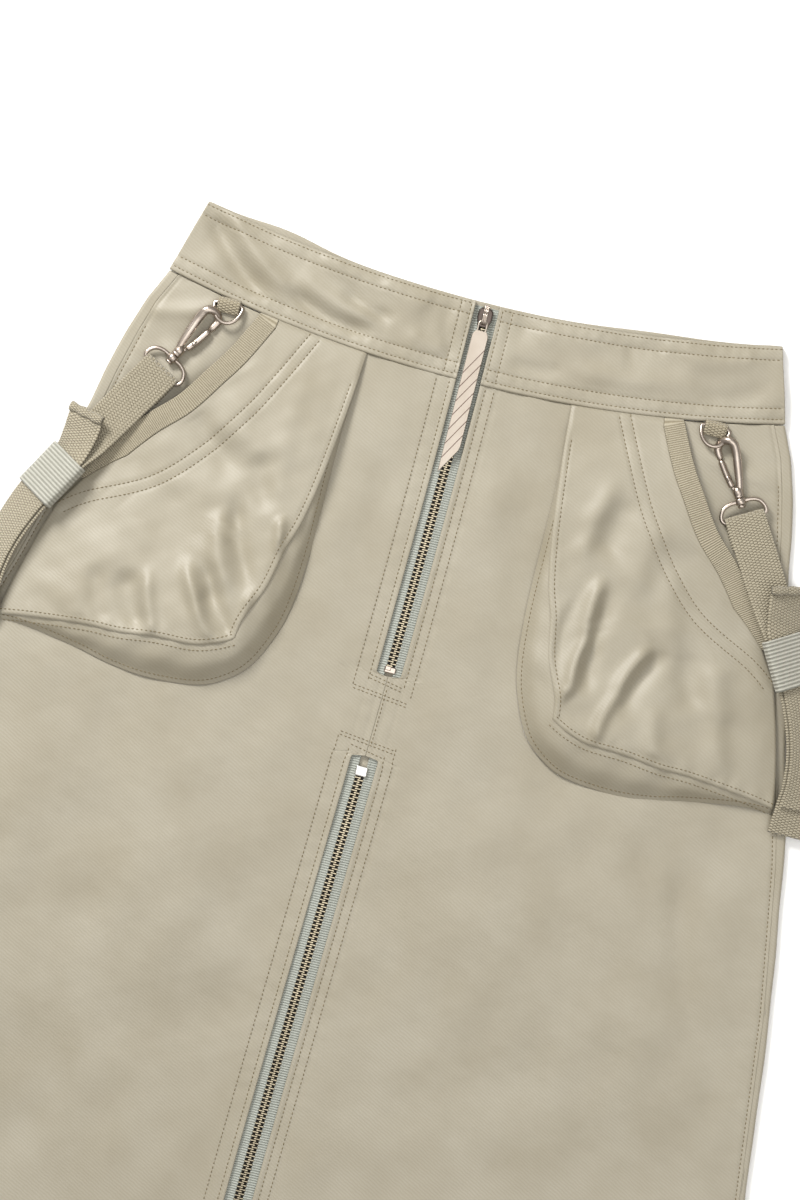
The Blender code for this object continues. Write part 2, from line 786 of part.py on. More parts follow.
def makeStrap(side, hand, webbing, elastic):
    """The webbing strap with its loop on the clip, its doubled tail and its elastic keeper."""
    reach = hook["loopWire"] + seamGap + webbingThickness / 2
    barZ = hook["loopBarZ"]
    loopPath = []
    across = clipPoint(side, -1, 0, 0) - clipPoint(side, 0, 0, 0)
    across.normalize()
    for back in strapUnder:
        loopPath.append((clipPoint(side, 0, hook["loopBar"] - back, barZ - reach), across))
    for k in range(7):
        turn = -pi / 2 + pi * k / 6
        loopPath.append((clipPoint(side, 0, hook["loopBar"] + reach * cos(turn),
                                   barZ + reach * sin(turn)), across))
    path = loopPath + strapLine(side, strapRows, 0, 0)
    ribbon(f"strap_{hand}", path, webbingHalf, webbingThickness, webbing)
    tail = strapLine(side, tailRows, layerStep, tailShift)
    ribbon(f"strap_tail_{hand}", tail, webbingHalf, webbingThickness, webbing)
    makeKeeper(side, hand, elastic)


def makeKeeper(side, hand, elastic):
    middle = strapRows[keeperCentre]
    before, after = strapRows[keeperCentre - 1], strapRows[keeperCentre + 1]
    ahead = Vector((after.s - before.s, after.t - before.t, after.z - before.z)).normalized()
    flatAcross = Vector((ahead.y, -ahead.x, 0)).normalized()
    turn = radians(middle.roll)
    across = flatAcross * cos(turn) + Vector((0, 0, -1)) * sin(turn)
    normal = flatAcross * sin(turn) + Vector((0, 0, 1)) * cos(turn)
    centre = Vector((middle.s, middle.t, middle.z))
    low = -webbingThickness / 2 - keeperEase
    high = layerStep + webbingThickness / 2 + keeperEase
    left, right = -webbingHalf - keeperEase, webbingHalf + tailShift + keeperEase
    corners = [(left, low), (0, low), (right, low), (right, high), (0, high), (left, high)]
    rings = []
    for x, z in corners:
        outX = x + (0 if x == 0 else keeperWall * (1 if x > 0 else -1))
        outZ = z + keeperWall * (1 if z > 0 else -1)
        loop = []
        for a, b, end in ((x, z, -1), (outX, outZ, -1), (outX, outZ, 1), (x, z, 1)):
            spot = centre + across * a + normal * b + ahead * end * keeperLength / 2
            loop.append(at(side * spot.x, spot.y, spot.z))
        rings.append(loop)
    loft(f"keeper_{hand}", rings, elastic, closed=True, smooth=False)


def main():
    clearScene()
    twill = material("twill", 0, 0.8)
    band = material("band", 0, 0.8)
    binding = material("binding", 0, 0.75)
    webbing = material("webbing", 0, 0.85)
    elastic = material("elastic", 0, 0.6)
    tape = material("tape", 0, 0.8)
    teeth = material("teeth", 0, 0.5)
    nickel = material("nickel", 1, 0.3)
    blade = material("blade", 1, 0.25)
    dark = material("slider", 1, 0.4)
    makePanels(twill)
    makeWaistband(band)
    makeZips(tape, teeth, nickel, dark, blade)
    makePockets(twill, binding)
    for side, hand in ((-1, "left"), (1, "right")):
        makeRing(side, hand, nickel, webbing)
        makeClip(side, hand, nickel)
        makeStrap(side, hand, webbing, elastic)


main()
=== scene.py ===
import math

import bmesh
import bpy
import numpy as np
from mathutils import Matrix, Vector
from mathutils.bvhtree import BVHTree


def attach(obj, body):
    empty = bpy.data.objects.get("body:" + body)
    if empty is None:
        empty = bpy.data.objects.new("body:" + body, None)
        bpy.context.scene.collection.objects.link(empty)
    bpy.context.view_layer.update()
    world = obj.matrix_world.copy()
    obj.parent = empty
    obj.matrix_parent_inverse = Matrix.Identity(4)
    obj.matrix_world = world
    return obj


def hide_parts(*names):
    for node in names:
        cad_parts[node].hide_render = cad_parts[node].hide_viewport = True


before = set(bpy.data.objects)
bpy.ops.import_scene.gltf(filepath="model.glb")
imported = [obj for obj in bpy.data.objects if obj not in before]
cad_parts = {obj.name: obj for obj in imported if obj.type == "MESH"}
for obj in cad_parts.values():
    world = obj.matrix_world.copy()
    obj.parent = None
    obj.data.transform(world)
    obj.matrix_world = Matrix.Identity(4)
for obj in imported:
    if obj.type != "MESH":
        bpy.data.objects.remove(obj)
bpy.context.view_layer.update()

# Lay coordinates are millimetres: s across, t down from the waist edge, z up.
lay = {
    "length": 850.0,
    "hemRise": 20.0,
    "waistHalf": 171.0,
    "waistTopRise": 17.6,
    "seamDrop": 46.0,
    "seamRise": 21.0,
    "seamHalf": 183.0,
    "hemSway": -16.5,
    "swayLength": 760.0,
    "clothThick": 1.2,
    "frontTop": 3.8,
    "bandTop": 5.0,
    "pocketBase": 4.1,
    "gap": 0.3,
}
middleLength = (lay["length"] - lay["waistTopRise"]) / 2

outlineT = [-18, 20, 45, 65, 90, 112, 150, 210, 255, 276, 360, 850]
outlineHalf = [171, 181, 193, 199, 205, 209, 219, 233.5, 246.5, 251, 267, 340]
sideInset = [3.5, 7, 7, 7, 7, 7, 7, 7, 6, 5, 4, 4]
zipHalf = 7.3
zipGapT = [-20, 221, 222.4, 223, 271, 271.6, 273, 900]
zipGapHalf = [zipHalf, zipHalf, 6.9, 0.1, 0.1, 7.4, 8.0, 8.0]
sides = ((-1, "Left", "left"), (1, "Right", "right"))


def toFrame(points):
    placed = np.array(points, float)
    placed[..., 0] -= lay["hemSway"]
    placed[..., 1] = middleLength - placed[..., 1]
    return placed / 1000


def swayAt(t):
    turn = np.clip(np.asarray(t, float) / lay["swayLength"], 0, 1) * np.pi
    return lay["hemSway"] * (1 - np.cos(turn)) / 2


def seamAt(share):
    return lay["seamDrop"] - lay["seamRise"] * np.asarray(share) ** 2


def layAt(share, row, outermost=1.0):
    down = (row - lay["seamDrop"]) / (lay["length"] - lay["seamDrop"])
    top = seamAt(share * outermost) + lay["gap"]
    return top + (lay["length"] - lay["hemRise"] * share**2 - top) * down


def halfAt(t):
    return np.interp(t, outlineT, outlineHalf)


def insetAt(t):
    return np.interp(t, outlineT, sideInset)


def smoothStep(x):
    x = np.clip(x, 0, 1)
    return x * x * (3 - 2 * x)


def hump(distance, width):
    return np.exp(-((distance / width) ** 2))


def ripple(s, t, size, seed, count=9):
    # soft unevenness from seeded plane waves, about -1 to 1, size in mm
    random = np.random.default_rng(seed)
    total = np.zeros(np.broadcast(s, t).shape)
    for _ in range(count):
        turn, phase = random.uniform(0, 2 * np.pi, 2)
        wave = 2 * np.pi / (size * random.uniform(0.7, 1.6))
        total += np.sin(wave * (s * np.cos(turn) + t * np.sin(turn)) + phase)
    return total / count**0.5 / 1.4


def creases(s, t, rows):
    # the sum of ridges and troughs that fade out past their ends
    total = np.zeros(np.broadcast(s, t).shape)
    for s0, t0, s1, t1, width, height in rows:
        ds, dt = s1 - s0, t1 - t0
        run = math.hypot(ds, dt)
        along = ((s - s0) * ds + (t - t0) * dt) / run**2
        aside = ((s - s0) * dt - (t - t0) * ds) / run
        aside = aside + 0.05 * run * np.sin(along * np.pi)
        fade = smoothStep((along + 0.2) / 0.4) * smoothStep((1.2 - along) / 0.4)
        total += height * hump(aside, width) * fade
    return total


def curve(rows, pieces=8):
    # a smooth curve through rows of numbers, the rows among its points
    rows = np.asarray(rows, float)
    found = []
    for i in range(len(rows) - 1):
        a, b = rows[max(i - 1, 0)], rows[i]
        c, d = rows[i + 1], rows[min(i + 2, len(rows) - 1)]
        for x in np.arange(pieces) / pieces:
            found.append(b + ((c - a) * x + (2 * a - 5 * b + 4 * c - d) * x**2
                              + (3 * b - a - 3 * c + d) * x**3) / 2)
    return np.array(found + [rows[-1]])


def goneAlong(path):
    # the length run so far at each point of a path
    return np.concatenate([[0], np.cumsum(np.linalg.norm(np.diff(path, axis=0), axis=1))])


def spread(points, count):
    # count points spread evenly along a run of points
    points = np.asarray(points, float)
    gone = goneAlong(points[:, :2])
    want = np.linspace(0, gone[-1], count)
    return np.stack([np.interp(want, gone, column) for column in points.T], 1)


def steps(start, stop, size):
    return np.linspace(start, stop, max(int(round((stop - start) / size)), 1) + 1)


def headings(path):
    ahead = np.empty_like(path)
    ahead[1:-1] = path[2:] - path[:-2]
    ahead[0] = path[1] - path[0]
    ahead[-1] = path[-1] - path[-2]
    return ahead / np.linalg.norm(ahead, axis=1)[:, None]


def leftOf(path):
    # unit steps sideways from a path, in plan
    ahead = headings(path[:, :2])
    return np.stack([-ahead[:, 1], ahead[:, 0]], 1)


def gridOf(*layers):
    # coordinate layers broadcast to one grid of points
    return np.stack(np.broadcast_arrays(*layers), -1)


def hexColour(code):
    # an sRGB hex value as linear red, green, blue and alpha
    channels = [int(code[i:i + 2], 16) / 255 for i in (1, 3, 5)]
    linear = [c / 12.92 if c <= 0.04045 else ((c + 0.055) / 1.055) ** 2.4 for c in channels]
    return (*linear, 1.0)


def addNode(tree, kind, inputs=None, **settings):
    # a node with its settings and values, linked from sockets or from a node's first output
    made = tree.nodes.new(kind)
    for name, value in settings.items():
        setattr(made, name, value)
    for name, value in (inputs or {}).items():
        if isinstance(value, bpy.types.Node):
            value = value.outputs[0]
        if isinstance(value, bpy.types.NodeSocket):
            tree.links.new(value, made.inputs[name])
        else:
            made.inputs[name].default_value = value
    return made


def newMaterial(name):
    # an empty material, its tree, and the object's own coordinates in metres
    made = bpy.data.materials.new(name)
    made.use_nodes = True
    tree = made.node_tree
    tree.nodes.clear()
    return made, tree, addNode(tree, "ShaderNodeTexCoord").outputs["Object"]


cottonTwill = {
    "light": "#a49d8c",
    "mid": "#99917e",
    "dark": "#887e65",
    "waleMm": 1.7,  # real twill is about 0.6 mm, drawn coarser so that it shows
    "waleTurn": 2.05,
    "patchMm": 48,
    "yarnMm": 1.1,  # real yarn is about 0.3 mm, drawn coarser so that it shows
}


def makeTwill(name, look):
    # washed cotton twill: fine steep diagonals, cloudy dye, a soft satin bloom
    made, tree, spot = newMaterial(name)
    turned = addNode(tree, "ShaderNodeMapping", {"Vector": spot,
                                                 "Rotation": (0, 0, look["waleTurn"])})
    wale = addNode(tree, "ShaderNodeTexWave",
                   {"Vector": turned, "Scale": 314.16 / look["waleMm"], "Distortion": 2.2,
                    "Detail": 2.0, "Detail Scale": 1.3},
                   wave_type="BANDS", bands_direction="X", wave_profile="SIN").outputs["Fac"]
    cloud = addNode(tree, "ShaderNodeTexNoise",
                    {"Vector": spot, "Scale": 1000 / look["patchMm"], "Detail": 3.0,
                     "Roughness": 0.55})
    yarn = addNode(tree, "ShaderNodeTexNoise",
                   {"Vector": spot, "Scale": 1000 / look["yarnMm"], "Detail": 2.0,
                    "Roughness": 0.7})
    dye = addNode(tree, "ShaderNodeValToRGB", {"Fac": cloud})
    for stop, position, shade in zip(dye.color_ramp.elements, (0.32, 0.68), ("mid", "light")):
        stop.position = position
        stop.color = hexColour(look[shade])
    grain = addNode(tree, "ShaderNodeMath", {0: yarn, 1: wale}, operation="MULTIPLY")
    ground = addNode(tree, "ShaderNodeMapRange", {"Value": grain, "From Min": 0.05,
                                                  "From Max": 0.5, "To Min": 0.22, "To Max": 0.0})
    colour = addNode(tree, "ShaderNodeMix", {0: ground, 6: dye, 7: hexColour(look["dark"])},
                     data_type="RGBA")
    relief = addNode(tree, "ShaderNodeMath", {0: wale, 1: yarn}, operation="ADD")
    shader = addNode(tree, "ShaderNodeBsdfPrincipled", {
        "Base Color": colour.outputs[2],
        "Normal": addNode(tree, "ShaderNodeBump", {"Height": relief, "Strength": 0.13,
                                                   "Distance": 0.0003}),
        "Roughness": addNode(tree, "ShaderNodeMapRange", {"Value": cloud, "To Min": 0.42,
                                                          "To Max": 0.6}),
        "Sheen Weight": 0.25,
        "Sheen Roughness": 0.35,
        "Specular IOR Level": 0.6,
    })
    addNode(tree, "ShaderNodeOutputMaterial", {"Surface": shader})
    return made


# Light and dark yarn, ribs per mm along, cells per mm across, relief in mm, roughness.
wovenLooks = {
    # fine crosswise ribs, a shade darker than the twill
    "grosgrainBinding": ("#ada48e", "#857a62", 0.8, 0.0, 0.4, 0.7),
    # coarse cells with dark gaps between the yarns
    "cottonWebbing": ("#ada48e", "#62563e", 0.6, 0.5, 0.6, 0.85),
    # pale grey ribs that run round the band
    "ribbedElastic": ("#b3b1a5", "#8a887b", 0.46, 0.0, 0.6, 0.6),
    # a cool pale strip beside the zip elements
    "polyesterZipTape": ("#b0b3aa", "#84877d", 0.7, 0.0, 0.4, 0.7),
    # the same coarse cells as the webbing, smaller and softer
    "cottonTapeLoop": ("#a59b84", "#6d6148", 0.62, 0.5, 0.5, 0.8),
    # the tape edges' cord, near black as painted shade between the zip elements
    "cordPaintedShade": ("#2a2520", "#0e0c0a", 0.8, 0.0, 0.3, 0.8),
}


def makeWoven(name):
    # narrow woven goods: weft ribs across the tape, broken into cells by the warp
    light, dark, along, across, depth, rough = wovenLooks[name]
    made, tree, _ = newMaterial(name)
    spot = addNode(tree, "ShaderNodeUVMap", uv_map="weave")
    split = addNode(tree, "ShaderNodeSeparateXYZ", {"Vector": spot}).outputs
    lane = addNode(tree, "ShaderNodeMath", {0: split[1], 1: across}, operation="MULTIPLY")
    cell = addNode(tree, "ShaderNodeMath", {0: lane}, operation="FLOOR")
    phase = addNode(tree, "ShaderNodeMath", {0: cell, 1: math.pi}, operation="MULTIPLY")
    turn = addNode(tree, "ShaderNodeMath", {0: split[0], 1: along * 2 * math.pi, 2: phase},
                   operation="MULTIPLY_ADD")
    rib = addNode(tree, "ShaderNodeMath", {0: turn}, operation="SINE")
    within = addNode(tree, "ShaderNodeMath", {0: lane, 1: 0.5}, operation="PINGPONG")
    both = addNode(tree, "ShaderNodeMath", {0: within, 1: 1.6 if across else 0.0, 2: rib},
                   operation="MULTIPLY_ADD")
    fuzz = addNode(tree, "ShaderNodeTexNoise", {"Vector": spot, "Scale": 1.1, "Detail": 3.0})
    mixed = addNode(tree, "ShaderNodeMath", {0: fuzz, 1: 1.3, 2: both},
                    operation="MULTIPLY_ADD")
    shade = addNode(tree, "ShaderNodeMapRange", {"Value": mixed, "From Min": -0.4,
                                                 "From Max": 1.1})
    colour = addNode(tree, "ShaderNodeMix", {0: shade, 6: hexColour(dark), 7: hexColour(light)},
                     data_type="RGBA")
    shader = addNode(tree, "ShaderNodeBsdfPrincipled", {
        "Base Color": colour.outputs[2],
        "Normal": addNode(tree, "ShaderNodeBump", {"Height": mixed, "Strength": 0.9,
                                                   "Distance": depth / 1800}),
        "Roughness": rough,
        "Sheen Weight": 0.2,
    })
    addNode(tree, "ShaderNodeOutputMaterial", {"Surface": shader})
    return made


# Plating, worn plating, roughness from and to.
metalLooks = {
    # soft warm highlights on the clips, rings and crowns
    "satinNickel": ("#cbbfb4", "#a89b8e", 0.24, 0.32),
    # the pale pull tabs, a broad dull shine
    "champagneNickel": ("#b9afa3", "#ada193", 0.36, 0.44),
    # the dark slider bodies
    "blackNickel": ("#6b605a", "#3f3833", 0.2, 0.3),
    # a white glint at the top of the lower zip
    "brightZinc": ("#f4f2ee", "#d2cfc8", 0.2, 0.4),
    # straw-coloured zip elements
    "paleBrassTeeth": ("#bfb49b", "#9c9079", 0.18, 0.35),
}


def makeMetal(name):
    # plated die castings: slow cloudy wear in the colour and in the polish
    base, worn, low, high = metalLooks[name]
    made, tree, spot = newMaterial(name)
    wear = addNode(tree, "ShaderNodeTexNoise", {"Vector": spot, "Scale": 90.0, "Detail": 3.0})
    colour = addNode(tree, "ShaderNodeMix", {0: wear, 6: hexColour(base), 7: hexColour(worn)},
                     data_type="RGBA")
    shader = addNode(tree, "ShaderNodeBsdfPrincipled", {
        "Base Color": colour.outputs[2],
        "Roughness": addNode(tree, "ShaderNodeMapRange", {"Value": wear, "To Min": low,
                                                          "To Max": high}),
        "Normal": addNode(tree, "ShaderNodeBump", {"Height": wear, "Strength": 0.05,
                                                   "Distance": 0.0002}),
        "Metallic": 1.0,
    })
    addNode(tree, "ShaderNodeOutputMaterial", {"Surface": shader})
    return made


mattLooks = {
    # polyester sewing thread, darker than the cloth as painted shade of the needle holes it sinks
    # into
    "spunThreadPaintedShade": "#75684b",
    # enamel in the pull's grooves: dark hairlines across the pale metal
    "brownEnamel": "#4e3128",
}


def makeMatt(name):
    # one dull colour, its lightness uneven from place to place
    made, tree, spot = newMaterial(name)
    fuzz = addNode(tree, "ShaderNodeTexNoise", {"Vector": spot, "Scale": 600.0})
    level = addNode(tree, "ShaderNodeMapRange", {"Value": fuzz, "To Min": 0.6, "To Max": 1.4})
    colour = addNode(tree, "ShaderNodeHueSaturation",
                     {"Value": level, "Color": hexColour(mattLooks[name])})
    shader = addNode(tree, "ShaderNodeBsdfPrincipled", {"Base Color": colour,
                                                        "Roughness": 0.8})
    addNode(tree, "ShaderNodeOutputMaterial", {"Surface": shader})
    return made


finishes = {"cottonTwill": makeTwill("cottonTwill", cottonTwill)}
for makeFinish, looks in ((makeMatt, mattLooks), (makeWoven, wovenLooks), (makeMetal, metalLooks)):
    for finishName in looks:
        finishes[finishName] = makeFinish(finishName)
print("materials made")


def place(name, shape, finish, nodes=(), body="root", weave=None, smooth=True):
    # a mesh from lay points that rides on a body and stands for CAD nodes
    points, faces = shape
    mesh = bpy.data.meshes.new(name)
    mesh.from_pydata(toFrame(points).tolist(), [], [tuple(map(int, f)) for f in faces])
    work = bmesh.new()
    work.from_mesh(mesh)
    bmesh.ops.recalc_face_normals(work, faces=work.faces)
    work.to_mesh(mesh)
    work.free()
    if weave is not None:
        layer = mesh.uv_layers.new(name="weave")
        corners = np.zeros(len(mesh.loops), np.int32)
        mesh.loops.foreach_get("vertex_index", corners)
        layer.uv.foreach_set("vector", np.asarray(weave, np.float32)[corners].ravel())
    if smooth:
        mesh.shade_smooth()
    mesh.materials.append(finishes[finish])
    obj = bpy.data.objects.new(name, mesh)
    bpy.context.scene.collection.objects.link(obj)
    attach(obj, body)
    if nodes:
        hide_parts(*nodes)
    return obj


def gridFaces(rows, columns, start=0):
    r, c = np.meshgrid(np.arange(rows - 1), np.arange(columns - 1), indexing="ij")
    a = (r * columns + c).ravel() + start
    return np.stack([a, a + 1, a + columns + 1, a + columns], 1)


def clothShell(name, top, low, finish, nodes, weave=None,
               cut=None):
    # a closed wall between two grids, its rim rounded
    rows, columns = top.shape[:2]
    index = np.arange(rows * columns).reshape(rows, columns)
    rim = np.concatenate([index[0, :-1], index[:-1, -1], index[-1, :0:-1], index[:0:-1, 0]])
    inward = np.concatenate([index[1, :-1], index[:-1, -2], index[-2, :0:-1], index[:0:-1, 1]])
    topFlat, lowFlat = top.reshape(-1, 3), low.reshape(-1, 3)
    out = topFlat[rim] - topFlat[inward]
    out = out / np.maximum(np.linalg.norm(out, axis=1), 1e-6)[:, None]
    wall = np.linalg.norm(topFlat[rim] - lowFlat[rim], axis=1)[:, None]
    middle = (topFlat[rim] + lowFlat[rim]) / 2 + out * wall * 0.12
    count = rows * columns
    ends = np.roll(np.arange(len(rim)), -1)
    faces = np.concatenate([
        gridFaces(rows, columns), gridFaces(rows, columns, count),
        np.stack([rim, rim[ends], 2 * count + ends, 2 * count + np.arange(len(rim))], 1),
        np.stack([rim + count, rim[ends] + count, 2 * count + ends,
                  2 * count + np.arange(len(rim))], 1)])
    uv = None
    if weave is not None:
        flatWeave = weave.reshape(-1, 2)
        uv = np.concatenate([flatWeave, flatWeave, flatWeave[rim]])
    made = place(name, (np.concatenate([topFlat, lowFlat, middle]), faces), finish,
                 nodes, "root", uv)
    if cut is None:
        return made
    return made


def ringFaces(rings, around, closed=False):
    # quads between rings of points, with both ends capped unless the rings close on themselves
    faces = []
    for r in range(rings if closed else rings - 1):
        here, there = r * around, (r + 1) % rings * around
        for i in range(around):
            j = (i + 1) % around
            faces.append((here + i, here + j, there + j, there + i))
    if not closed:
        faces.append(tuple(range(around)))
        faces.append(tuple(range(rings * around - around, rings * around)))
    return faces


def tubeMesh(path, radii, sidesRound=14, closed=False, flat=1.0):
    # a round wire along a path; flat is its height over its width
    path = np.asarray(path, float)
    radii = np.broadcast_to(np.asarray(radii, float), len(path))
    if closed:
        ahead = np.roll(path, -1, 0) - np.roll(path, 1, 0)
        ahead /= np.linalg.norm(ahead, axis=1)[:, None]
    else:
        ahead = headings(path)
    across = np.cross(ahead, [0, 0, 1.0])
    across /= np.linalg.norm(across, axis=1)[:, None]
    up = np.cross(across, ahead)
    turn = 2 * np.pi * (np.arange(sidesRound) + 0.5) / sidesRound
    rings = path[:, None] + radii[:, None, None] * (
        across[:, None] * np.cos(turn)[None, :, None]
        + flat * up[:, None] * np.sin(turn)[None, :, None])
    return rings.reshape(-1, 3), ringFaces(len(path), sidesRound, closed)


def joinMeshes(*parts):
    points, faces, start = [], [], 0
    for found, around in parts:
        points.append(np.asarray(found, float).reshape(-1, 3))
        faces += [tuple(int(i) + start for i in face) for face in around]
        start += len(points[-1])
    return np.concatenate(points), faces


def plateMesh(outline, levels):
    # an outline stacked through levels of height and inset, closed at both ends
    outline = np.asarray(outline, float)
    ahead = np.roll(outline, -1, 0) - outline
    ahead /= np.linalg.norm(ahead, axis=1)[:, None]
    normal = np.stack([ahead[:, 1], -ahead[:, 0]], 1)
    area = np.sum(outline[:, 0] * np.roll(outline[:, 1], -1)
                  - outline[:, 1] * np.roll(outline[:, 0], -1))
    normal = normal if area > 0 else -normal
    bend = normal + np.roll(normal, 1, 0)
    bend /= np.maximum((bend**2).sum(1) / 2, 0.4)[:, None]
    points = [np.column_stack([outline - bend * inset, np.full(len(outline), z)])
              for z, inset in levels]
    return np.concatenate(points), ringFaces(len(levels), len(outline))


# Rows of start s, t, end s, t, half width and height; a negative height is a trough.
frontCreases = [
    (-186, 50, -152, 40, 4, 2.2),
    (-184, 66, -150, 56, 7, -1.6),
    (-176, 92, -150, 74, 6, 1.6),
    (140, 52, 186, 60, 5, 1.6),
    (150, 74, 192, 84, 8, -1.5),
    (-120, 300, -60, 420, 30, 2.4),
    (-160, 270, -130, 360, 14, -1.6),
    (60, 290, 120, 400, 34, 2.2),
    (-200, 330, -170, 470, 22, 2.2),
    (150, 300, 215, 430, 26, 2.0),
    (190, 290, 216, 380, 9, -1.6),
    (-30, 330, -60, 470, 26, -1.6),
    (30, 90, 45, 210, 14, 1.2),
    (-40, 70, -46, 190, 14, 1.1),
]
# Share of the half width, reach and height of the soft flutes towards the hem.
hemFlutes = [(-0.78, 0.10, 2.0), (-0.42, 0.13, 1.8), (0.38, 0.12, 2.2), (0.74, 0.11, 1.8)]


def groundAt(s, t):
    # height of the front panels' upper face
    middle = swayAt(t)
    aside = np.abs(s - middle)
    share = (s - middle) / halfAt(t)
    z = lay["frontTop"] + creases(s, t, frontCreases)
    grow = np.clip((t - 330) / 400, 0, 1)
    for where, width, height in hemFlutes:
        z = z + grow * height * np.clip(1 - ((share - where) / width) ** 2, 0, None) ** 2
    calm = smoothStep((aside - 8) / 26) * smoothStep((halfAt(t) - 8 - aside) / 22)
    z = z + calm * (0.9 * ripple(s, t, 85, 3) + 0.4 * ripple(s, t, 30, 4))
    return z + 0.1 * ripple(s, t, 11, 5)


front = {
    "near": [0, 0.5, 1.2, 2.0, 2.9, 3.9, 5, 6.5, 8, 9.2, 10.4, 11.6, 12.8, 14],
    "far": [9, 7.4, 6, 4.6, 3.4, 2.6, 2.0, 1.4, 0.8, 0.3, -0.2],
    "columns": 84,
    "stitchNear": (3.4, 10.4),
    "stitchFar": (2.0,),
}


def makeFront(side, hand, node):
    rows = np.concatenate([[46, 46.5, 47.3, 48.5], steps(51, 219, 2.7),
                           [220.6, 221.3, 222, 222.7, 223.4, 224.4, 226], steps(228, 267.5, 2.7),
                           [269.2, 270.2, 270.9, 271.4, 272.2, 273.2, 274.4],
                           steps(277, 480, 2.8), steps(486, 845, 6), [848, 849.4, 850]])
    near, far = np.array(front["near"]), np.array(front["far"])
    between = np.linspace(0, 1, front["columns"])[1:-1]
    row = rows[:, None]
    t = np.broadcast_to(row, (len(rows), len(near) + len(between) + len(far)))
    reach = 1 - insetAt(seamAt(1)) / halfAt(seamAt(1))
    for _ in range(3):
        inner = np.interp(t, zipGapT, zipGapHalf)
        width = halfAt(t) - insetAt(t) - inner
        first = width[:, :1] * 0
        span = width - near[-1] - far[0]
        offset = np.concatenate([near[None] + first,
                                 near[-1] + span[:, len(near):-len(far)] * between[None],
                                 width[:, -len(far):] - far[None]], 1)
        t = layAt(offset / width, row, reach) + lay["gap"]
    s = swayAt(t) + side * (inner + offset)
    z = groundAt(s, t)
    opened = smoothStep((223 - t) / 3) + smoothStep((t - 270) / 3)
    z = z + 0.55 * opened * hump(offset - 1.2, 2.2)
    for d in front["stitchNear"]:
        z = z - 0.3 * hump(offset - d, 0.9)
    for d in front["stitchFar"]:
        z = z - 0.35 * hump(width - offset - d, 0.9)
    pucker = hump(offset - 7, 7) + hump(width - offset - 5, 6)
    z = z + 0.16 * pucker * np.sin(t * 0.62 + 2.2 * ripple(s, t, 30, 8))
    top = np.stack([s, t, z], 2)
    low = top - [0, 0, lay["clothThick"]]
    return clothShell("front" + hand, top, low, "cottonTwill", [node],
                      cut=(0.34, 0.806))


def makeBack():
    rows = np.concatenate([[46, 47], steps(50, 480, 4.5), steps(487, 843, 7), [848, 850]])
    turns = np.linspace(0, np.pi, 11)
    edge = 1.9
    shares = np.linspace(0.97, -0.97, 66)
    outer, inner = [], []
    for row in rows:
        t0 = layAt(1, row) + 0.7
        inset = insetAt(t0) - 0.3
        run = [(b, 3.8, b, 2.6) for b in np.linspace(inset, edge + 0.4, 6)]
        run += [(edge - edge * np.sin(x), edge + edge * np.cos(x),
                 edge - 0.9 * np.sin(x), edge + 0.85 * np.cos(x)) for x in turns]
        out, ins = [], []
        for side in (1, -1):
            line = []
            for back, z, backIn, zIn in run:
                t = layAt(1 - back / halfAt(t0), row) + 0.7
                wave = 0.45 * ripple(side * 200.0, np.array([t]), 60, 12)[0]
                half = halfAt(t) + wave * (0 if back > 3 else 1)
                line.append(((swayAt(t) + side * (half - back), t, z),
                             (swayAt(t) + side * (half - backIn), t, zIn)))
            if side == -1:
                line = line[::-1]
            out += [a for a, b in line]
            ins += [b for a, b in line]
            if side == 1:
                for share in shares:
                    t = layAt(abs(share), row)
                    s = swayAt(t) + share * (halfAt(t) - 4)
                    out.append((s, t + 0.7, 0.0))
                    ins.append((s, t + 0.7, 1.0))
        outer.append(out)
        inner.append(ins)
    clothShell("backPanel", np.array(outer), np.array(inner), "cottonTwill",
               ["back_panel"], cut=(0.70, 0.806))


bandCreases = [
    (-166, -9, -128, 26, 5, -2.4),
    (-156, -14, -114, 20, 5.5, 2.2),
    (-110, 22, -66, 33, 4.0, -2.2),
    (-106, 13, -62, 24, 5.5, 1.9),
    (-80, 15, -54, 22, 3.5, -1.8),
    (-96, -2, -60, 6, 6, 1.2),
    (-60, 2, -34, 9, 7, 1.3),
    (-40, 28, -18, 32, 5, 1.1),
    (-22, 8, -14, 34, 4, -0.9),
    (30, 8, 70, 4, 8, 1.2),
    (60, 24, 120, 16, 6, 1.4),
    (120, 2, 160, -8, 6, 1.3),
    (84, 8, 104, -2, 7, -1.2),
    (136, 22, 168, 10, 5, -1.0),
    (22, 30, 50, 27, 4, -1.0),
]
band = {
    "rows": (1.5, 8.0, 43.5, 37.0),
    "near": (2.0, 8.0),
    "height": 46.0,
}


def bandPoint(share, down, inner):
    top = -lay["waistTopRise"] * share**2
    t = top + (seamAt(share) - top) * down
    half = lay["waistHalf"] + (halfAt(seamAt(1)) - lay["waistHalf"]) * down
    return inner + (half - inner) * share, t


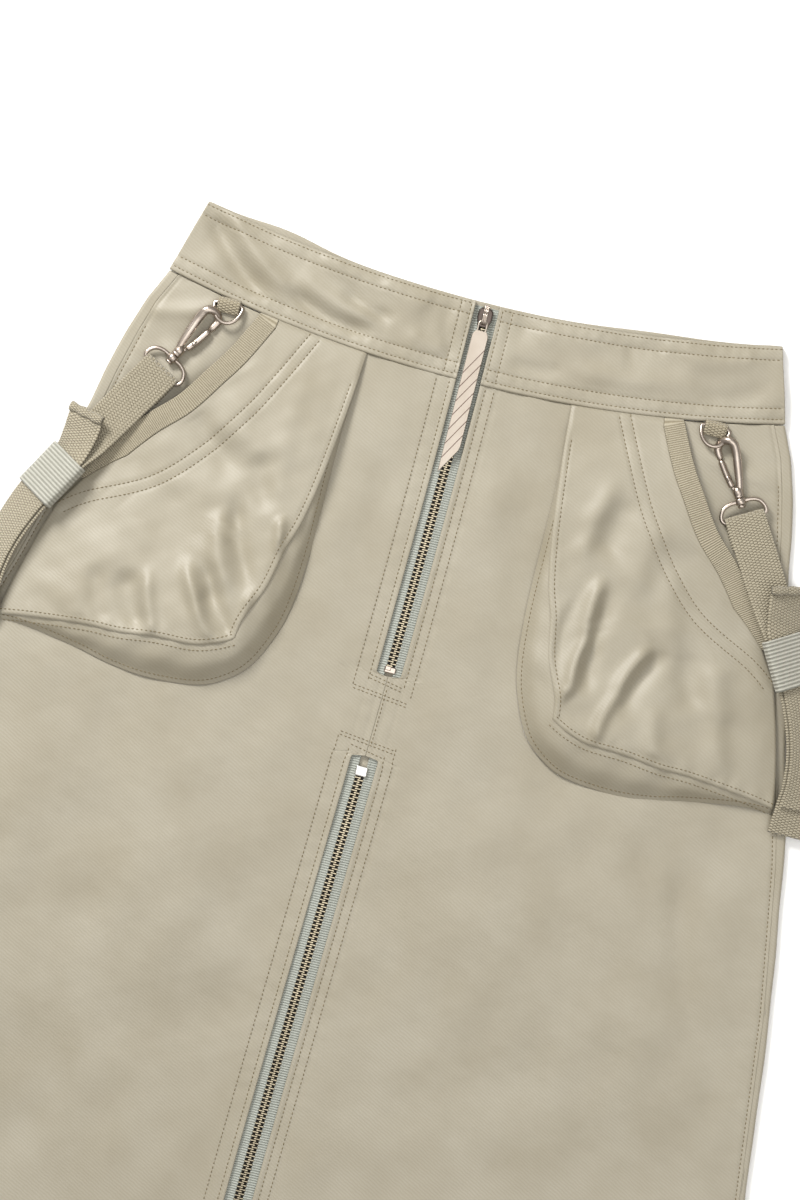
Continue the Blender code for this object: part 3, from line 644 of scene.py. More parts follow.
def makeBand(side, hand, node):
    down = np.array([0, 0.4, 0.9, 1.5, 2.1, 3, 4.4, 5.8, 7, 7.5, 8, 8.5, 9.2, 10.5, 12.5, 15,
                     17.5, 20, 22.5, 25, 27.5, 30, 32.5, 34.6, 36, 36.5, 37, 37.5, 38.3, 39.6,
                     41, 42.3, 42.9, 43.5, 44.1, 44.8, 45.4, 46]) / band["height"]
    offset = np.concatenate([[0, 0.5, 1.2, 2, 2.8, 4, 5.6, 7.2, 8, 8.8, 10],
                             steps(12, 172, 2.0), [173.2, 174.4, 175.2, 175.7]])
    share = offset / offset[-1]
    aside, t = bandPoint(share[None], down[:, None], zipHalf)
    s = swayAt(t) + side * aside
    z = lay["bandTop"] + 1.5 * creases(s, t, bandCreases) + 0.7 * ripple(s, t, 38, 21)
    z = z + 0.35 * ripple(s, t, 19, 24) + 0.1 * ripple(s, t, 9, 22)
    mm = down[:, None] * band["height"]
    for d in band["rows"]:
        z = z - 0.38 * hump(mm - d, 0.8)
    for d in band["near"]:
        z = z - 0.3 * hump(offset[None] - d, 0.8)
    z = z + 0.35 * smoothStep((mm - 9) / 9) * smoothStep((37 - mm) / 9)
    stitched = hump(mm - 5, 5) + hump(mm - 40, 5)
    z = z + 0.15 * stitched * np.sin(s * 0.7 + 2.0 * ripple(s, t, 30, 23))
    z = z - 0.5 * hump(mm, 0.6) - 0.5 * hump(46 - mm, 0.6)
    t = t + 0.35 * smoothStep((mm - 44) / 2)
    top = np.stack([s, t, z], 2)
    low = gridOf(s, t, 2.7 + 0.4 * (z - lay["bandTop"]))
    return clothShell("waistbandFront" + hand, top, low, "cottonTwill", [node],
                      cut=(0.177, 0.047))


def makeBackBand():
    share = np.linspace(-1, 1, 150)
    down = np.array([0, 0.02, 0.06, 0.15, 0.3, 0.5, 0.7, 0.9, 0.98, 1])
    aside, t = bandPoint(np.abs(share)[None], down[:, None], 0.0)
    s = swayAt(t) + np.sign(share)[None] * aside
    rise = 3.4 * hump(s + 122, 26) + 1.6 * hump(s - 95, 34) + 0.5
    t = t - rise * (1 - down[:, None]) ** 3
    thick = 1.0 + 1.2 * smoothStep((np.abs(share) - 0.9) / 0.05)
    edge = hump(down[:, None], 0.12)
    clothShell("waistbandBack", gridOf(s, t, thick + edge), gridOf(s, t, 0.0), "cottonTwill",
               ["waistband_back"], cut=(0.366, 0.048))


makeBack()
makeBackBand()
# The pieces that stitches are laid on.
surfaces = {}
for side, hand, node in sides:
    surfaces["front" + hand] = makeFront(side, hand, f"front_{node}_panel")
    surfaces["band" + hand] = makeBand(side, hand, f"waistband_front_{node}")
print("panels and waistband made")


zips = {
    "tapeAcross": (2.6, 3.1, 3.8, 5, 6.5, 8.2, 10.5, 12.4, 12.6),
    "tapeBase": 1.3,
    "tapeTop": 2.35,
    "pitch": 1.27,
    "toothReach": 2.75,
    "toothHead": 0.95,
    "toothTop": 3.3,
    "axisZ": 5.75,
    "axisStep": 7.5,
    "crownBase": 4.5,
    "crownRise": 2.7,
    "crownDrop": 1.6,
    "upperSlider": 3.0,
    "lowerSlider": 808.0,
}


def makeTape(zipName, nodeName, start, end, side, hand, node):
    t = steps(start, end, 3.0)[:, None]
    x = np.array(zips["tapeAcross"])[None]
    s = swayAt(t) + side * x
    z = zips["tapeTop"] + 0.55 * hump(x - 2.9, 0.8) + 0.12 * ripple(s, t, 40, 31)
    clothShell(f"{zipName}Tape{hand}", gridOf(s, t, z), gridOf(s, t, zips["tapeBase"]),
               "polyesterZipTape", [f"{nodeName}_tape_{node}"],
               gridOf(t, x),
               cut=(0.0105, round((end - start) / 1000, 3)))


def makeTeeth(name, node, start, end):
    # interlocked teeth from either tape, each a chamfered block with a rounded head
    parts = []
    base, top = zips["tapeBase"] + 0.3, zips["toothTop"]
    for k, t in enumerate(np.arange(start, end, zips["pitch"])):
        side = 1 if k % 2 else -1
        middle = float(swayAt(t))
        root, head = side * zips["toothReach"], -side * zips["toothHead"]
        rows = []
        for z, shrink in ((base, 0.0), (top - 0.35, 0.0), (top, 0.24)):
            half = 0.46 - shrink * 0.7
            knob = 0.60 - shrink * 0.7
            rows += [(root - side * shrink, -half, z), (side * 0.6, -half * 0.8, z),
                     (head * 0.4, -knob, z), (head + side * shrink, -half * 0.6, z),
                     (head + side * shrink, half * 0.6, z), (head * 0.4, knob, z),
                     (side * 0.6, half * 0.8, z), (root - side * shrink, half, z)]
        parts.append((np.array(rows) + [middle, t, 0], ringFaces(3, 8)))
    place(name, joinMeshes(*parts), "paleBrassTeeth", [node], smooth=False)
    # the cord under the teeth, coloured near black as painted shade in the gaps between them
    t = steps(start - 1, end + 1, 6)[:, None]
    x = np.array([-2.9, 0, 2.9])[None]
    top = gridOf(swayAt(t) + x, t, 1.75)
    clothShell(name + "Cord", top, top - [0, 0, 0.4], "cordPaintedShade", (),
               gridOf(t, x))


def roundedBox(s0, s1, t0, t1, corner=0.6):
    turns = np.linspace(0, np.pi / 2, 4)
    spots = []
    for cx, cy, add in ((s1 - corner, t1 - corner, 0), (s0 + corner, t1 - corner, 1),
                        (s0 + corner, t0 + corner, 2), (s1 - corner, t0 + corner, 3)):
        spots += [(cx + corner * np.cos(x + add * np.pi / 2),
                   cy + corner * np.sin(x + add * np.pi / 2)) for x in turns]
    return spots


def makeSlider(name, node, start):
    # a cast slider: shouldered body, ribbed crown over it and the arch that holds the pull
    middle, axis = float(swayAt(start)), start + zips["axisStep"]
    half = np.array([[0, 2.0], [0.5, 3.1], [1.6, 4.1], [3.2, 4.4], [6.5, 4.4], [8.0, 4.0],
                     [9.5, 3.5], [10.9, 3.3], [11.4, 2.6]])
    outline = [(middle + w, start - 0.6 + t) for t, w in half]
    outline += [(middle - w, start - 0.6 + t) for t, w in half[::-1]]
    body = plateMesh(outline, [(3.3, 0.3), (3.6, 0), (4.4, 0), (4.8, 0.25), (4.95, 0.9)])
    under = plateMesh(roundedBox(middle - 1.8, middle + 1.8, start + 0.5, start + 4.5),
                      [(1.3, 0), (4.0, 0)])
    # the crown's waist end is low, so that the pull can swing over it
    turn = np.linspace(0, np.pi, 17)
    rise = zips["crownRise"] - zips["crownDrop"] * np.clip(np.cos(turn) / 0.3, 0, 1)
    crown = gridOf(middle, axis - 3.9 - 4.6 * np.cos(turn) * 1.25,
                   zips["crownBase"] + rise * np.sin(turn) ** 0.55)
    ribs = [tubeMesh(crown + [x, 0, 0], 0.42, 10) for x in (-0.95, 0, 0.95)]
    core = tubeMesh(crown - [0, 0, 0.25], 1.05 + 0.35 * np.sin(turn), 10, flat=0.35)
    place(name + "Crown", joinMeshes(core, *ribs), "satinNickel")
    place(name, joinMeshes(body, under), "blackNickel", [node], smooth=False)


def makePull(name, node, body, start, outline, grooves):
    # a flat blade on a wire eye through the slider's arch, with enamelled diagonal grooves
    middle, axis = float(swayAt(start)), start + zips["axisStep"]
    spots = [(middle + x, axis + y) for x, y in outline]
    low = zips["axisZ"] - 0.6
    blade = plateMesh(spots, [(low, 0.15), (low + 0.15, 0), (low + 1.0, 0), (low + 1.2, 0.25)])
    eyePath = curve([(-2.3, 7.5, 0), (-2.4, 3.5, 0), (-2.3, 1.0, 0), (-1.3, 0, 0), (0, -0.1, 0),
                     (1.3, 0, 0), (2.3, 1.0, 0), (2.4, 3.5, 0), (2.3, 7.5, 0)], 4)
    eye = tubeMesh(eyePath + [middle, axis, zips["axisZ"]], 0.58, 10)
    place(name, joinMeshes(blade, eye), "champagneNickel", [node], body, smooth=False)
    if not grooves:
        return
    parts = []
    width, high = grooves["half"], low + 1.24
    left, right = middle - 4.62, middle + 4.42
    rise = grooves["slope"] * (right - left)
    for k in range(grooves["count"]):
        foot = axis + grooves["first"] + grooves["pitch"] * k
        line = np.array([[left, foot - width, 0], [right, foot - rise - width, 0],
                         [right, foot - rise + width, 0], [left, foot + width, 0]])
        points = np.concatenate([line + [0, 0, high - 0.1], line + [0, 0, high]])
        parts.append((points, ringFaces(2, 4)))
    place(name + "Grooves", joinMeshes(*parts), "brownEnamel", (), body, smooth=False)


def makeStop(name, node, finish, t, plates, smooth):
    # small clamped plates that end a chain
    middle = float(swayAt(t))
    parts = [plateMesh(roundedBox(middle - left, middle + right, t0, t1, corner), levels)
             for left, right, t0, t1, corner, levels in plates]
    place(name, joinMeshes(*parts), finish, [node], smooth=smooth)


for side, hand, node in sides:
    makeTape("upperZip", "zip_upper", 2, 228, side, hand, node)
    makeTape("lowerZip", "zip_lower", 264, 846, side, hand, node)
makeTeeth("upperZipTeeth", "zip_upper_chain", 13.5, 217.4)
makeTeeth("lowerZipTeeth", "zip_lower_chain", 284.0, 806.0)
makeSlider("upperSlider", "zip_upper_slider", zips["upperSlider"])
makeSlider("lowerSlider", "zip_lower_slider", zips["lowerSlider"])
makePull("upperPull", "zip_upper_pull", "upper_pull", zips["upperSlider"],
         [(-3.0, 5.6), (3.0, 5.6), (4.3, 7.6), (4.6, 9), (4.6, 73.5), (3.9, 76.2),
          (-4.4, 90.4), (-4.8, 90.6), (-4.8, 9), (-4.3, 7.6)],
         {"count": 7, "first": 31.8, "pitch": 8.4, "slope": 16 / 9.4, "half": 0.42})
makePull("lowerPull", "zip_lower_pull", "lower_pull", zips["lowerSlider"],
         [(-2.8, 5.6), (2.8, 5.6), (4.0, 8.4), (4.0, 24), (2.6, 26.8), (-2.6, 26.8), (-4.0, 24),
          (-4.0, 8.4)], None)
makeStop("upperZipStop", "zip_upper_stop", "satinNickel", 219,
         [(3.4, 3.4, 217.3, 221.0, 0.5, [(1.3, 0), (3.2, 0), (3.6, 0.5)]),
          (3.0, 0.4, 217.0, 219.6, 0.4, [(1.3, 0), (3.6, 0), (3.95, 0.35)])], False)
makeStop("lowerZipStop", "zip_lower_stop", "brightZinc", 280,
         [(3.5, 3.5, 276.9, 283.0, 0.9, [(1.5, 0), (3.8, 0), (4.15, 0.2), (4.3, 0.7)])], True)
print("zips made")


# Rows of s, t and rise above the pocket's base, from the waist seam down.
pocketInner = [(61, 44.0, 0.0), (62, 60, 2.2), (64, 84, 5.0), (68, 120, 8.0), (72.8, 148, 10.0),
               (78.5, 167, 11.5), (83.5, 190, 13.0), (92, 211, 14.0), (94, 223.5, 14.0)]
pocketBottom = [(94, 223.5, 14.0), (105, 229, 14.0), (118, 232.5, 14.0), (140, 233.5, 13.0),
                (160, 236, 11.5), (180, 236.5, 9.5), (213, 240, 5.5), (231, 243, 2.4)]
pocketMouth = [(126, 37.0, 0.0), (137, 60, 4.5), (147, 76, 6.6), (160, 95, 6.0),
               (177, 112, 3.2), (195, 135, 1.5), (206, 153, 0.8)]
pocketSide = [(213.5, 172, 0.6), (222, 200, 1.0), (228, 225, 1.8), (231, 243, 2.4)]
# Rows of top s, t, base s, t and rise, round the pleated wall.
gussetRows = [(62, 62, 62, 62, 2.3), (64, 84, 63.5, 84, 5.0), (68, 120, 64, 122, 8.0),
              (72.8, 148, 64, 150, 10.0), (78.5, 167, 64.5, 170, 11.5),
              (83.5, 190, 66.5, 194, 13.0), (92, 211, 71, 214, 14.0),
              (94, 223.5, 82, 237, 14.0), (105, 229, 98, 250.5, 14.0),
              (118, 232.5, 114, 256, 14.0), (140, 233.5, 140, 257.8, 13.0),
              (160, 236, 162, 255.5, 11.5), (180, 236.5, 182, 251, 9.5),
              (213, 240, 213, 246, 5.5), (230, 242.5, 231, 246, 2.6)]
pocketCreases = {
    -1: [(-130, 191, -99, 234, 4.5, 4.2), (-120, 186, -93, 226, 4.5, -3.0),
         (-164, 203, -149, 230, 8, -3.0), (-152, 200, -138, 236, 4.5, 3.2),
         (-116, 200, -105, 228, 5, -2.6), (-85, 150, -80, 170, 3.5, 3.0),
         (-112, 148, -96, 188, 5.5, -2.8), (-120, 158, -107, 196, 6, 2.6),
         (-91, 196, -86, 220, 3.5, 2.6), (-146, 104, -118, 130, 8, -2.4),
         (-130, 90, -104, 118, 9, 2.0), (-172, 190, -196, 226, 12, 2.0),
         (-182, 205, -170, 232, 6, -1.6), (-96, 84, -88, 140, 8, 1.4),
         (-150, 150, -134, 186, 10, -1.6), (-106, 120, -96, 146, 7, -1.4)],
    1: [(102, 140, 101.6, 175, 4.5, 3.4), (101.6, 175, 99, 203, 4, 4.0),
        (99, 203, 90, 223, 3.5, 3.0), (138, 172, 126, 201, 4.5, 3.6),
        (126, 201, 120, 228, 4.0, 3.0), (146, 172, 132, 206, 6, -3.0),
        (110, 150, 108, 200, 5, -2.8), (160, 168, 172, 196, 9, -2.2),
        (178, 172, 188, 200, 9, 2.4), (108, 92, 102, 124, 8, -2.6), (96, 84, 88, 130, 6, 1.8),
        (92, 150, 88, 196, 4, -1.5), (186, 200, 196, 230, 7, 1.8), (150, 205, 156, 230, 6, 1.8),
        (128, 100, 122, 140, 9, 1.8), (140, 128, 150, 160, 8, 1.4)],
}
facingRows = [(95, 41), (123, 96), (159, 140), (199, 162), (213, 172)]
pocket = {"innerStitch": 3.5, "bottomStitch": 3.0, "facingSteps": (0, 6.5), "binding": 12.0,
          "bindingWall": 1.5}


def pocketPatch(columns, mouthRows, sideRows):
    # points in s, t and rise blended between the pocket front's four edges
    mouth = spread(curve(pocketMouth, 10), mouthRows)
    taper = np.minimum(1, 0.35 + 3.2 * (1 - np.linspace(0, 1, mouthRows)))
    inset = mouth.copy()
    inset[:, :2] += leftOf(mouth) * ((pocket["binding"] + lay["gap"]) * taper)[:, None]
    for point in (mouth[0], inset[0]):
        point[1] = seamAt(point[0] / lay["seamHalf"]) + 1.1
    outer = np.concatenate([inset, spread(curve(pocketSide, 10), sideRows)])
    inner = spread(curve(pocketInner, 10), len(outer))
    bottom = spread(curve(pocketBottom, 10), columns)
    u, v = np.linspace(0, 1, columns), np.linspace(0, 1, len(outer))
    top = inner[0] + (outer[0] - inner[0]) * u[:, None]
    top[:, 1] = seamAt(top[:, 0] / lay["seamHalf"]) + 1.1
    inner[0], outer[0] = top[0], top[-1]
    uu, vv = u[None, :, None], v[:, None, None]
    grid = inner[:, None] * (1 - uu) + outer[:, None] * uu
    grid = grid + top[None] * (1 - vv) + bottom[None] * vv
    grid = grid - ((top[0] * (1 - uu) + top[-1] * uu) * (1 - vv)
                   + (bottom[0] * (1 - uu) + bottom[-1] * uu) * vv)
    return grid, mouth, inset, u, v


def distanceTo(s, t, line):
    # distance from points to a run of straight stretches, in plan
    line = np.asarray(line, float)[:, :2]
    best = np.full(s.shape, 1e9)
    for a, b in zip(line, line[1:]):
        d = b - a
        x = np.clip(((s - a[0]) * d[0] + (t - a[1]) * d[1]) / max(d @ d, 1e-9), 0, 1)
        best = np.minimum(best, np.hypot(s - a[0] - x * d[0], t - a[1] - x * d[1]))
    return best


def facingLine(step):
    line = spread(curve(facingRows, 10), 60)
    return line + leftOf(line) * step


def makePocket(side, hand, node):
    grid, mouth, inset, u, v = pocketPatch(96, 70, 39)
    s, t, rise = side * grid[..., 0], grid[..., 1], grid[..., 2]
    uu, vv = u[None, :], v[:, None]
    edge = smoothStep(0.15 + uu / 0.08) * smoothStep((1 - uu) / 0.08)
    edge = edge * smoothStep(0.15 + (1 - vv) / 0.05) * smoothStep(vv / 0.08)
    worn = 1.2 * creases(s, t, pocketCreases[side]) + 0.7 * ripple(s, t, 42, 41 + side)
    z = rise + edge * (worn + 0.3 * ripple(s, t, 17, 44 + side))
    z = np.maximum(z, rise * 0.35)
    away = distanceTo(grid[..., 0], t, curve(pocketInner, 10))
    below = distanceTo(grid[..., 0], t, curve(pocketBottom, 10))
    z = z - 0.35 * hump(away - pocket["innerStitch"], 0.9) * smoothStep((t - 60) / 8)
    z = z - 0.35 * hump(below - pocket["bottomStitch"], 0.9)
    for step in pocket["facingSteps"]:
        z = z - 0.4 * hump(distanceTo(grid[..., 0], t, facingLine(step)), 1.1)
    z = z + 0.25 * hump(below - 3, 5) * np.sin(s * 0.55 + 2 * ripple(s, t, 30, 47))
    z = z - 0.8 * hump(away, 1.3) - 0.8 * hump(below, 1.3)
    top = np.stack([s, t, z + lay["pocketBase"] + lay["clothThick"]], 2)
    surfaces["pocket" + hand] = clothShell(
        "pocketFront" + hand, top, top - [0, 0, lay["clothThick"]], "cottonTwill",
        [f"pocket_front_{node}"], cut=(0.172, 0.212))
    x = np.array([0, 0.05, 0.12, 0.3, 0.5, 0.7, 0.88, 0.95, 1.0])
    away = inset - mouth
    away = away * (1 - lay["gap"] / np.linalg.norm(away, axis=1))[:, None]
    fine = spread(np.concatenate([mouth, away], 1), 150)
    spots = fine[:, None, :3] + fine[:, None, 3:] * x[None, :, None]
    roll = 0.35 * np.sin(np.pi * x)[None] - 0.25 * hump(x - 0.12, 0.05) + 0.25 * hump(x - 1, 0.1)
    low = (spots + [0, 0, lay["pocketBase"]]) * [side, 1, 1]
    top = gridOf(low[..., 0], low[..., 1], low[..., 2] + pocket["bindingWall"] + roll)
    weave = gridOf(goneAlong(fine[:, :2])[:, None], pocket["binding"] * x)
    clothShell("pocketBinding" + hand, top, low, "grosgrainBinding",
               [f"pocket_binding_{node}"], weave, cut=(0.0125, 0.145))
    makeGusset(side, hand, node)


def makeGusset(side, hand, node):
    # the pleated wall, folded softly between the pocket front's edge and the base seam
    rows = spread(curve(gussetRows, 12), 190)
    away, foot = leftOf(rows), rows[:, 2:4]
    head = rows[:, :2] - away * 0.9
    sill = lay["pocketBase"]
    height = sill + rows[:, 4] - 0.3
    across = np.array([0, 0.04, 0.1, 0.2, 0.3, 0.4, 0.5, 0.6, 0.7, 0.8, 0.87, 0.93, 0.97, 1.0])
    reach = np.linalg.norm(foot - head, axis=1)[:, None]
    spot = head[:, None] + (foot - head)[:, None] * across[None, :, None]
    fall = 1 - across[None] ** 1.5
    z = sill + 0.1 + (height[:, None] - sill) * fall
    gone = np.arange(len(rows))[:, None] * 2.1
    puff = np.sin(np.pi * across[None]) * np.minimum(reach / 20, 1)
    z = z + puff * (0.9 * ripple(gone, across[None] * 20, 26, 51 + side))
    z = z + 1.1 * puff * hump(across[None] - 0.55, 0.25)
    z = z - 0.3 * hump((1 - across[None]) * reach - 3, 0.8) * smoothStep((reach - 8) / 6)
    z = np.maximum(z, sill + 0.15)
    top = np.concatenate([spot, z[..., None]], 2)
    inside = np.concatenate([spot - away[:, None] * 0.6,
                             np.maximum(z - 0.9, sill - 0.1)[..., None]], 2)
    flip = [side, 1, 1]
    surfaces["gusset" + hand] = clothShell(
        "pocketGusset" + hand, top * flip, inside * flip, "cottonTwill",
        [f"pocket_gusset_{node}"],
        cut=(0.032, 0.375))


for side, hand, node in sides:
    makePocket(side, hand, node)
print("pockets made")


clip = {
    "angle": math.radians(29.5),
    "collar": (167.7, 72.7, 7.6),
    "bar": -12.6,
    "barZ": -0.2,
}
ring = {"centre": 145.0, "bar": 36.4, "barZ": 6.5, "half": 8.35, "depth": 12.0, "bowZ": 9.5,
        "wire": 1.15, "loopHalf": 6.5, "loopWall": 1.0}


def clipSpots(side, spots):
    # clip coordinates: x towards the centre front, y towards the D ring
    spots = np.asarray(spots, float)
    c, d = math.cos(clip["angle"]), math.sin(clip["angle"])
    s = clip["collar"][0] - spots[..., 0] * c - spots[..., 1] * d
    t = clip["collar"][1] + spots[..., 0] * d - spots[..., 1] * c
    return np.stack([side * s, t, clip["collar"][2] + spots[..., 2]], -1)


def turnedMesh(side, profile, sidesRound=20):
    # a turned part about the clip's own axis, from rows of y and radius
    turn = 2 * np.pi * np.arange(sidesRound) / sidesRound
    rings = [clipSpots(side, gridOf(r * np.cos(turn), y, r * np.sin(turn)))
             for y, r in profile]
    return np.concatenate(rings), ringFaces(len(profile), sidesRound)


def makeClip(side, hand, node):
    # a snap hook: cast bow, sprung gate, swivel collar and the D loop the strap hangs on
    path = [(-0.9, 2.5, 0), (-2.3, 8, 0.3), (-3.7, 16, 0.8), (-4.8, 23.5, 1.4)]
    heights = [2.4, 2.8, 2.8, 2.2, 1.0, -0.4, -1.5, -1.9, -1.9]
    for k, z in enumerate(heights):
        turn = math.pi - math.pi * k / 8
        path.append((-0.2 + 4.8 * math.cos(turn), 28.6 + 4.8 * math.sin(turn), z))
    path.append((4.5, 23.6, -1.7))
    fine = curve(path, 5)
    radii = np.interp(np.arange(len(fine)), [0, 10, 18, 60, len(fine) - 3, len(fine) - 1],
                      [1.9, 2.5, 2.6, 2.2, 2.0, 1.3])
    bow = tubeMesh(clipSpots(side, fine), radii, 16, flat=0.85)
    base = turnedMesh(side, [(6.2, 1.2), (5.6, 2.0), (4.4, 2.7), (3.2, 3.0), (1.2, 3.0),
                             (0.8, 2.6), (0.4, 2.9), (-0.3, 2.9), (-0.6, 2.4), (-0.7, 1.2),
                             (-4.9, 1.2), (-5.0, 2.0), (-5.3, 2.3), (-6.2, 2.3), (-6.6, 1.9),
                             (-6.7, 0.9)])
    wing = tubeMesh(clipSpots(side, curve([(-0.6, 4.2, 0), (1.2, 5.0, 0), (2.5, 5.6, -0.1)], 4)),
                    1.35, 12)
    place("hook" + hand, joinMeshes(bow, base, wing), "satinNickel", [f"hook_{node}"])
    fine = curve([(2.5, 6.6, -0.2), (3.8, 15, -0.9), (4.45, 23.2, -1.6)], 8)
    gate = tubeMesh(clipSpots(side, fine), np.interp(np.arange(17), [0, 2, 14, 16],
                                                      [1.6, 1.9, 1.9, 1.3]), 14)
    knob = tubeMesh(clipSpots(side, curve([(3.2, 10, 0.3), (3.4, 11.6, 1.0), (3.6, 13.2, 0.4)],
                                          4)), 0.95, 10)
    place("gate" + hand, joinMeshes(gate, knob), "satinNickel",
          [f"hook_gate_{node}"], "gate_" + node)
    boss = turnedMesh(side, [(-1.0, 1.3), (-1.0, 2.8), (-1.3, 3.1), (-4.3, 3.1), (-4.6, 2.8),
                             (-4.6, 1.3)])
    half = curve([(2.2, -2.8, 0), (6.5, -2.9, 0), (10.6, -4.6, 0), (12.9, -8.0, 0),
                  (13.2, -11.0, 0), (12.0, -12.6, -0.2)], 6)
    wire = np.concatenate([half, half[::-1] * [-1, 1, 1]])
    loop = tubeMesh(clipSpots(side, wire), 1.22, 14)
    place("hookLoop" + hand, joinMeshes(boss, loop), "satinNickel",
          [f"hook_loop_{node}"])


def ribbonShell(name, side, centres, across, half, wall, finish, nodes, cut,
                cup=0.0, count=15):
    # a flat strip of tape along centre points, with its warp running along it
    ahead = headings(centres)
    normal = np.cross(ahead, across)
    normal /= np.linalg.norm(normal, axis=1)[:, None]
    x = np.sin(np.linspace(-np.pi / 2, np.pi / 2, count)) * half
    bow = cup * (x / half) ** 2
    spots = centres[:, None] + across[:, None] * x[:, None] + normal[:, None] * bow[:, None]
    edge = np.sqrt(np.clip(1 - (np.abs(x) / half) ** 10, 0.02, 1))[:, None]
    rise = normal[:, None] * wall / 2 * edge
    flip = [side, 1, 1]
    clothShell(name, (spots + rise) * flip, (spots - rise) * flip, finish, nodes,
               gridOf(goneAlong(centres)[:, None], x + half), cut=cut)


def makeRing(side, hand, node):
    # a D-ring held under the waist seam by a folded loop of tape
    corner = 2.2
    tilt = (ring["bowZ"] - ring["barZ"]) / ring["depth"]
    wire = [(k / 4 * (ring["half"] - corner), 0) for k in range(-4, 5)]
    for k in range(0, 25):
        turn = math.pi * k / 24
        wire.append((ring["half"] * math.cos(turn),
                     corner * 0.6 + (ring["depth"] - corner * 0.6) * math.sin(turn)))
    spots = [(side * (ring["centre"] + x), ring["bar"] + y, ring["barZ"] + y * tilt)
             for x, y in wire]
    place("dRing" + hand, tubeMesh(spots, ring["wire"], 14, closed=True), "satinNickel",
          [f"d_ring_{node}"])
    start = float(seamAt(ring["centre"] / lay["seamHalf"])) + 1.0
    turns = [(start, 6.2), (start + 1.2, 7.7), (ring["bar"], 8.4), (39.2, 7.8), (41.3, 6.7),
             (42.0, 6.0), (41.3, 5.4), (38.5, 4.95), (start, 4.75)]
    line = curve(turns, 5)
    across = np.tile([1.0, 0, 0], (len(line), 1))
    ribbonShell("ringLoop" + hand, side, gridOf(ring["centre"], line[:, 0], line[:, 1]), across,
                ring["loopHalf"], ring["loopWall"], "cottonTapeLoop", [f"ring_loop_{node}"],
                (0.013, 0.0205), count=9)


# Rows of s, t, height and roll in degrees; the outer edge rolls down.
strapRows = [(182, 97, 10.2, 0), (192, 113.5, 10.6, 4), (202, 130, 10.6, 12),
             (210.5, 144, 10.5, 25), (218.5, 158, 10.4, 25), (226.5, 172, 10.3, 25),
             (234, 190, 9.6, 30), (239.5, 208, 9.2, 30), (242.5, 226, 9.6, 22),
             (243, 240, 9.2, 8), (243, 256, 6.0, 0)]
strap = {"half": 11.8, "wall": 1.3, "lift": 2.0, "shift": 1.5, "keeperRow": 4,
         "keeperHalf": 15.0, "keeperWall": 1.2, "ease": 0.8, "under": (16.5, 12.5),
         "extraRoll": {-1: 8, 1: 0}}


def strapLine(rows, lift, shift):
    fine = curve(rows, 7)
    centres, roll = fine[:, :3], np.radians(fine[:, 3])
    ahead = headings(centres)
    flatAcross = np.stack([ahead[:, 1], -ahead[:, 0], 0 * roll], 1)
    flatAcross /= np.linalg.norm(flatAcross, axis=1)[:, None]
    c, d = np.cos(roll)[:, None], np.sin(roll)[:, None]
    across = flatAcross * c - np.array([0, 0, 1.0]) * d
    normal = flatAcross * d + np.array([0, 0, 1.0]) * c
    return centres + normal * lift + across * shift, across


def makeStrap(side, hand, node):
    # webbing folded round the D loop's bar, and its tail laid back over it to the keeper
    rows = np.array(strapRows, float)
    rows[3:9, 3] += strap["extraRoll"][side]
    reach = 1.4 + strap["wall"] / 2
    barAcross = clipSpots(1, (-1, 0, 0)) - clipSpots(1, (0, 0, 0))
    loop = [clipSpots(1, (0, clip["bar"] - back, clip["barZ"] - reach))
            for back in strap["under"]]
    for k in range(9):
        turn = -math.pi / 2 + math.pi * k / 8
        loop.append(clipSpots(1, (0, clip["bar"] + reach * math.cos(turn),
                                  clip["barZ"] + reach * math.sin(turn))))
    centres, across = strapLine(rows, 0, 0)
    loop = curve(np.concatenate([loop, centres[:1]]), 3)[:-1]
    centres = np.concatenate([loop, centres])
    across = np.concatenate([np.tile(barAcross, (len(loop), 1)), across])
    ribbonShell("strap" + hand, side, centres, across, strap["half"], strap["wall"],
                "cottonWebbing", [f"strap_{node}"], (0.025, 0.235))
    tail = np.concatenate([[(206, 119, 11.6, 24), (206.6, 122, 11.2, 24),
                            (207.5, 131, 10.7, 26)], rows[3:-1]])
    centres, across = strapLine(tail, strap["lift"], strap["shift"])
    ribbonShell("strapTail" + hand, side, centres, across, strap["half"], strap["wall"],
                "cottonWebbing", [f"strap_tail_{node}"], (0.025, 0.142),
                cup=0.25)
    weave = np.array([(k * 1.3, j * 2.3) for j in range(13) for k in range(12)], float)
    made = place("tailHem" + hand, clothRoll(centres[0], across[0], side), "cottonWebbing",
                 (), "root", weave)
    makeKeeper(side, hand, node, rows)


def clothRoll(end, across, side):
    # the tail's end turned over twice: a flattened roll across the strap
    turn = 2 * np.pi * np.arange(12) / 12
    ahead = np.cross(across, [0, 0, 1.0])
    ahead /= np.linalg.norm(ahead)
    up = np.cross(ahead, across)
    up = up if up[2] > 0 else -up
    points = []
    for x in np.linspace(-strap["half"], strap["half"], 13):
        swell = 1 + 0.12 * math.sin(x * 0.7)
        for a in turn:
            points.append(end + across * x + ahead * 2.6 * math.cos(a) * swell
                          + up * (1.0 + 1.35 * math.sin(a) * swell))
    return np.array(points) * [side, 1, 1], ringFaces(13, 12)


